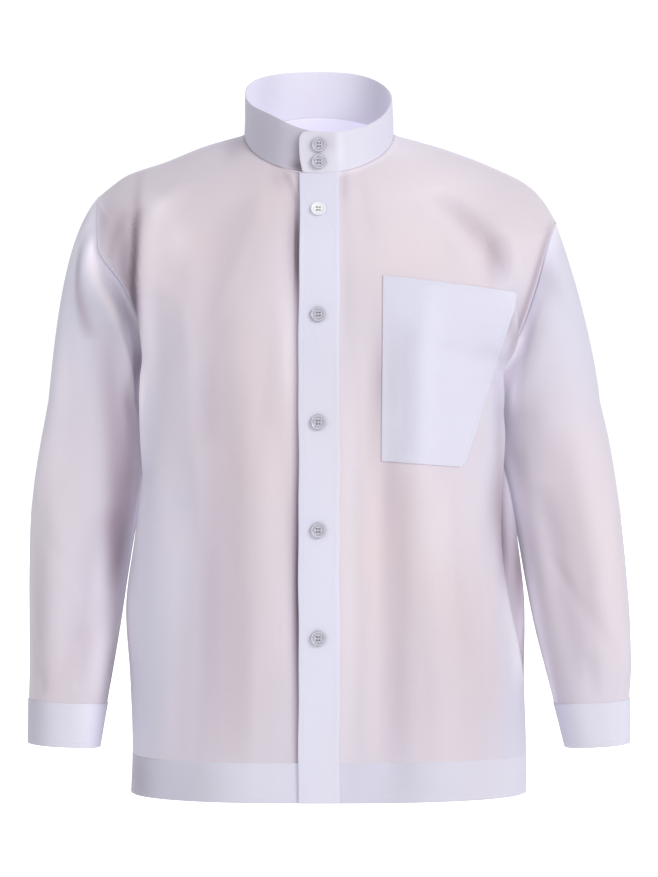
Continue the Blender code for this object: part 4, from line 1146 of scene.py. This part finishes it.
def stitchesAlong(line, facing):
    lengths = lengthsAlong(line, 0)
    count = max(int(lengths[-1] / stitch["pitch"]), 1)
    middle = (np.arange(count) + 0.5) * lengths[-1] / count

    def at(place, values):
        return np.stack([np.interp(place, lengths, values[:, axis]) for axis in range(3)], axis=-1)

    centre = at(middle, line)
    run = unit(at(middle + 0.5, line) - at(middle - 0.5, line))
    up = unit(at(middle, facing))
    across = np.cross(run, up)
    half = run * stitch["length"] / 2
    wide = across * stitch["halfWidth"]
    tall = up * stitch["height"]
    return np.stack([centre - half, centre + half, centre - wide, centre + wide,
                     centre - tall * 0.5, centre + tall], axis=1)


beadFaces = np.array([(0, 2, 5), (2, 1, 5), (1, 3, 5), (3, 0, 5), (2, 0, 4), (1, 2, 4), (3, 1, 4), (0, 3, 4)])


def addStitching(name, lines, slot):
    beads = np.concatenate([stitchesAlong(line, facing) for line, facing in lines])
    faces = (np.arange(len(beads))[:, None, None] * 6 + beadFaces).reshape(-1, 3)
    mesh = bpy.data.meshes.new(name)
    mesh.from_pydata((beads.reshape(-1, 3) * mm).tolist(), [], faces.tolist())
    mesh.shade_smooth()
    piece = addPiece(name, mesh)
    pick(piece)
    bpy.ops.object.mode_set(mode="EDIT")
    bpy.ops.mesh.select_all(action="SELECT")
    bpy.ops.mesh.normals_make_consistent(inside=False)
    bpy.ops.object.mode_set(mode="OBJECT")
    dress(piece, threadMaterial, slot=slot)


def threadLook(name, dark, bright):
    material, tree = newMaterial(name)
    noise = noiseAt(tree, addNode(tree, "TexCoord").outputs["Object"], scale=900)
    feedShader(tree, {"Base Color": mixColour(tree, noise, dark, bright), "Roughness": 0.45,
                      "Sheen Weight": 0.3})
    return material


threadMaterial = threadLook("threadLustre", (0.62, 0.62, 0.74), (0.80, 0.80, 0.90))
# the button thread is dark, partly its own colour and partly painted shade of the holes it runs through
buttonThread = threadLook("buttonThread", (0.22, 0.21, 0.27), (0.42, 0.40, 0.48))
lines = [insetLine(placketGrid, edge, stitch["placket"]) for edge in ("start", "end")]
addStitching("placket_stitching", lines, "placket")
lines = [insetLine(collarGrid, edge, inset) for edge, inset in stitch["collar"].items()]
addStitching("collar_stitching", lines, "collar")
for side, name in ((-1, "right"), (1, "left")):
    lines = [insetLine(cuffGrids[side], edge, inset, cuffCentre(side))
             for edge, inset in stitch["cuff"].items()]
    addStitching(f"{name}_cuff_stitching", lines, f"{name}_cuff")
lines = [insetLine(grid, "top", stitch["hem"]) for grid in hemGrids.values()]
addStitching("hem_stitching", lines, "back_hem")
seamLines = []
high = fineRows >= underarm
for grid, edge in ((fronts[-1][0], "end"), (fronts[1][0], "end"), (backGrid, "start"), (backGrid, "end")):
    for rows, inset in ((high, "seam"), (high, "allowance"), (~high, "seam")):
        seamLines.append(insetLine(grid[rows], edge, stitch[inset]))
addStitching("seam_stitching", seamLines, "back")


def pocketLine(inset):
    corners = [np.array(corner, float) for corner in pocketCorners]
    centre = np.mean(corners, axis=0)
    line, facing, moved = [], [], []
    for k in range(len(corners)):
        before, here, after = corners[k - 1], corners[k], corners[(k + 1) % len(corners)]
        first, second = unit(here - before), unit(after - here)
        inward = unit(np.array([first[1], -first[0]]) + np.array([second[1], -second[0]]))
        if inward @ (centre - here) < 0:
            inward = -inward
        square = abs(inward @ np.array([first[1], -first[0]]))
        moved.append(here + inward * inset / max(square, 0.4))
    for start, end in zip(moved, moved[1:] + moved[:1]):
        for t in np.linspace(0, 1, 60)[:-1]:
            x, z = start + (end - start) * t
            hit, normal = pocketTree.ray_cast(Vector((x * mm, -0.5, z * mm)), Vector((0, 1, 0)))[:2]
            if hit is not None:
                line.append(np.array(hit) / mm)
                facing.append(np.array(normal))
    return np.array(line), np.array(facing)


addStitching("pocket_stitching", [pocketLine(stitch["pocket"])], "pocket")
print("stitching made")

# buttons
button = dict(width=15.0, thick=2.4, rim=1.5, dish=0.7, holePitch=3.3, holeWidth=1.7, soft=0.35,
              thread=0.42, threadRise=0.75, threadSunk=0.45, threadLane=0.25)


def pearlMaterial(name, dark, bright, edge):
    material, tree = newMaterial(name)
    place = addNode(tree, "TexCoord").outputs["Object"]
    noise = noiseAt(tree, place, scale=160, detail=4, distortion=1.5)
    # the ringed places take the edge colour as painted shade
    colour = mixColour(tree, attributeValue(tree, "ringed"), mixColour(tree, noise, dark, bright), edge)
    feedShader(tree, {"Base Color": colour, "Roughness": mapRange(tree, noise, 0.18, 0.34),
                      "Coat Weight": 0.5, "Coat Roughness": 0.12})
    return material


def facesWhere(piece, test):
    bpy.ops.mesh.select_all(action="DESELECT")
    bpy.ops.object.mode_set(mode="OBJECT")
    for face in piece.data.polygons:
        face.select = test(face)
    bpy.ops.object.mode_set(mode="EDIT")


def buttonShape():
    # a turned disc with its back at z = 0: dished inside a rim, with four drilled holes
    radius = button["width"] / 2 * mm
    bpy.ops.object.select_all(action="DESELECT")
    bpy.ops.mesh.primitive_cylinder_add(
        vertices=48, radius=radius, depth=button["thick"] * mm, location=(0, 0, button["thick"] / 2 * mm))
    disc = bpy.context.object
    bpy.ops.object.transform_apply(location=True)
    bpy.ops.object.mode_set(mode="EDIT")
    facesWhere(disc, lambda face: face.normal.z > 0.9)
    bpy.ops.mesh.inset(thickness=button["rim"] * mm, depth=0)
    bpy.ops.mesh.inset(thickness=button["dish"] * mm, depth=-button["dish"] * mm)
    bpy.ops.object.mode_set(mode="OBJECT")
    for k in range(4):
        turn = math.pi * (2 * k + 1) / 4
        place = Vector((math.cos(turn), math.sin(turn), 0.5)) * button["holePitch"] / math.sqrt(2) * mm
        bpy.ops.object.select_all(action="DESELECT")
        bpy.ops.mesh.primitive_cylinder_add(
            vertices=14, radius=button["holeWidth"] / 2 * mm, depth=0.02, location=place)
        drill = bpy.context.object
        applyModifier(disc, "BOOLEAN", object=drill, operation="DIFFERENCE")
        bpy.data.objects.remove(drill)
    bevel(disc, button["soft"], 3, 40)
    # painted shade: darker at the outer edge, down the dish's wall and a little in the middle
    across = [math.hypot(vert.co.x, vert.co.y) / radius for vert in disc.data.vertices]
    dark = np.interp(across, (0.0, 0.5, 0.7, 0.8, 0.92, 1.0), (0.4, 0.0, 0.6, 0.05, 0.1, 0.75))
    pointValues(disc.data, {"ringed": dark})
    return disc


def threadShape():
    # two bars of thread over the button's face, each through a pair of holes
    bars = bmesh.new()
    half, high = button["holePitch"] / 2, button["threadRise"]
    top = button["thick"] - button["dish"] - button["threadSunk"]
    side = np.array([0, 1, 0])
    for lane in (-button["threadLane"], button["threadLane"]):
        for y in (-half, half):
            rings = []
            for t in np.linspace(0, math.pi, 11):
                middle = np.array([-math.cos(t) * half, y + lane, top + high * math.sin(t)])
                up = unit(np.cross([math.sin(t) * half, 0, high * math.cos(t)], side))
                spots = [middle + button["thread"] / 2 * (math.cos(a) * up + math.sin(a) * side)
                         for a in np.linspace(0, 2 * math.pi, 9)[:-1]]
                rings.append([bars.verts.new(spot * mm) for spot in spots])
            for low, above in zip(rings, rings[1:]):
                for k in range(8):
                    bars.faces.new([low[k - 1], low[k], above[k], above[k - 1]])
            bars.faces.new(rings[0])
            bars.faces.new(rings[-1][::-1])
    bmesh.ops.recalc_face_normals(bars, faces=bars.faces)
    mesh = bpy.data.meshes.new("button_thread")
    bars.to_mesh(mesh)
    bars.free()
    mesh.shade_smooth()
    return mesh


buttonModel = buttonShape()
threadModel = threadShape()
# the buttons are grey pearl; the lighter pearl is a painted highlight, used for the first placket button
greyPearl = pearlMaterial("greyPearl", (0.40, 0.39, 0.46), (0.80, 0.79, 0.88), (0.17, 0.16, 0.21))
litPearl = pearlMaterial("litPearl", (0.74, 0.76, 0.78), (0.95, 0.96, 0.96), (0.70, 0.71, 0.76))
buttonPlaces = {}
for node in sorted(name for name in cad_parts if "button" in name):
    places = np.array([vert.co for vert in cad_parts[node].data.vertices])
    centre = (places.min(axis=0) + places.max(axis=0)) / 2
    spread = places - places.mean(axis=0)
    facing = np.linalg.svd(spread, full_matrices=False)[2][2]
    axis = cuffCentre(-1 if "right" in node else 1) * mm if "cuff" in node else np.zeros(3)
    facing = facing * np.sign(facing @ ((centre - axis) * np.array([1, 1, 0])))
    low = centre - facing * button["thick"] / 2 * mm
    turn = Vector(facing).to_track_quat("Z", "Y").to_matrix().to_4x4()
    buttonPlaces[node] = low, facing
    # painted highlight: the first placket button takes the lighter pearl
    pearl = litPearl if node.endswith("placket_button_1") else greyPearl
    for kind, shape, material in (("disc", buttonModel.data, pearl), ("thread", threadModel, buttonThread)):
        mesh = shape.copy()
        mesh.transform(Matrix.Translation(Vector(low)) @ turn)
        piece = addPiece(f"{node}_{kind}", mesh)
        if kind == "disc":
            pick(piece)
            bpy.ops.object.shade_smooth_by_angle(angle=math.radians(35))
            dress(piece, material, node)
        else:
            dress(piece, material, slot=node)
bpy.data.objects.remove(buttonModel)
print("buttons made")

# buttonholes: a slit worked round with close stitches
buttonhole = dict(length=17.0, halfWidth=1.5, pitch=0.8, slit=0.25, under=0.2)


def buttonholeLines(low, facing, along):
    across = np.cross(facing, along)
    lines = []
    count = int(buttonhole["length"] / buttonhole["pitch"])
    for k in range(count):
        place = low / mm + along * (k - (count - 1) / 2) * buttonhole["pitch"] - facing * buttonhole["under"]
        for side in (-across, across):
            ends = [place + side * buttonhole[reach] for reach in ("slit", "halfWidth")]
            lines.append((np.array(ends), np.array([facing, facing])))
    return lines


holeLines = {"placket": [], "collar": []}
for node, (low, facing) in buttonPlaces.items():
    if "cuff" in node:
        continue
    upright = unit(np.array([0, 0, 1.0]) - facing * facing[2])
    where = "collar" if "collar" in node else "placket"
    along = np.cross(upright, facing) if where == "collar" else upright
    holeLines[where] += buttonholeLines(low, facing, along)
for where, lines in holeLines.items():
    addStitching(f"{where}_buttonholes", lines, where)
print("buttonholes made")

# floor, light and camera
studio = dict(floorZ=-1.15, floorSize=60.0, floorGlow=0.12, key=60.0, fill=14.0, back=10.0,
              worldLight=0.62, worldSeen=1.05)
bpy.ops.object.select_all(action="DESELECT")
bpy.ops.mesh.primitive_plane_add(size=studio["floorSize"], location=(0, 0, studio["floorZ"]))
floor = bpy.context.object
floor.name = "studio_floor"
floorMaterial, floorTree = newMaterial("paleFloor")
floorSeen = addNode(floorTree, "LightPath").outputs["Is Camera Ray"]
feedShader(floorTree, {
    "Base Color": (0.94, 0.94, 0.945), "Roughness": 0.9, "Emission Color": (1, 1, 1),
    "Emission Strength": mathNode(floorTree, "ADD", floorSeen, studio["floorGlow"])})
floor.data.materials.append(floorMaterial)

world = bpy.data.worlds.new("studio")
world.use_nodes = True
sky = world.node_tree
seen = addNode(sky, "LightPath").outputs["Is Camera Ray"]
extra = mathNode(sky, "MULTIPLY", seen, studio["worldSeen"] - studio["worldLight"])
backdrop = sky.nodes["Background"]
feed(sky, backdrop.inputs["Color"], (1, 1, 1))
feed(sky, backdrop.inputs["Strength"], mathNode(sky, "ADD", extra, studio["worldLight"]))
bpy.context.scene.world = world


def addLight(name, place, aim, size, power, colour):
    light = bpy.data.lights.new(name, "AREA")
    light.shape = "DISK"
    light.size = size
    light.energy = power
    light.color = colour
    lamp = bpy.data.objects.new(name, light)
    lamp.location = place
    lamp.rotation_euler = (Vector(aim) - Vector(place)).to_track_quat("-Z", "Y").to_euler()
    bpy.context.collection.objects.link(lamp)


addLight("key", (2.4, -2.2, 1.3), (0, 0, -0.3), 1.6, studio["key"], (1.0, 0.99, 0.98))
addLight("fill", (-2.6, -1.8, 0.6), (0, 0, -0.3), 2.0, studio["fill"], (0.96, 0.97, 1.0))
addLight("back", (0.6, 2.6, 1.6), (0, 0, -0.2), 2.0, studio["back"], (1.0, 1.0, 1.0))

view = dict(place=(0.0103, -3.2, -0.3136), lens=127.5, sensor=36.0)
cameraData = bpy.data.cameras.new("photoView")
cameraData.sensor_fit = "VERTICAL"
cameraData.sensor_height = view["sensor"]
cameraData.lens = view["lens"]
camera = bpy.data.objects.new("photoView", cameraData)
camera.location = view["place"]
camera.rotation_euler = (math.pi / 2, 0, 0)
bpy.context.collection.objects.link(camera)
bpy.context.scene.camera = camera
bpy.context.scene.view_settings.view_transform = "Standard"
print("studio made")
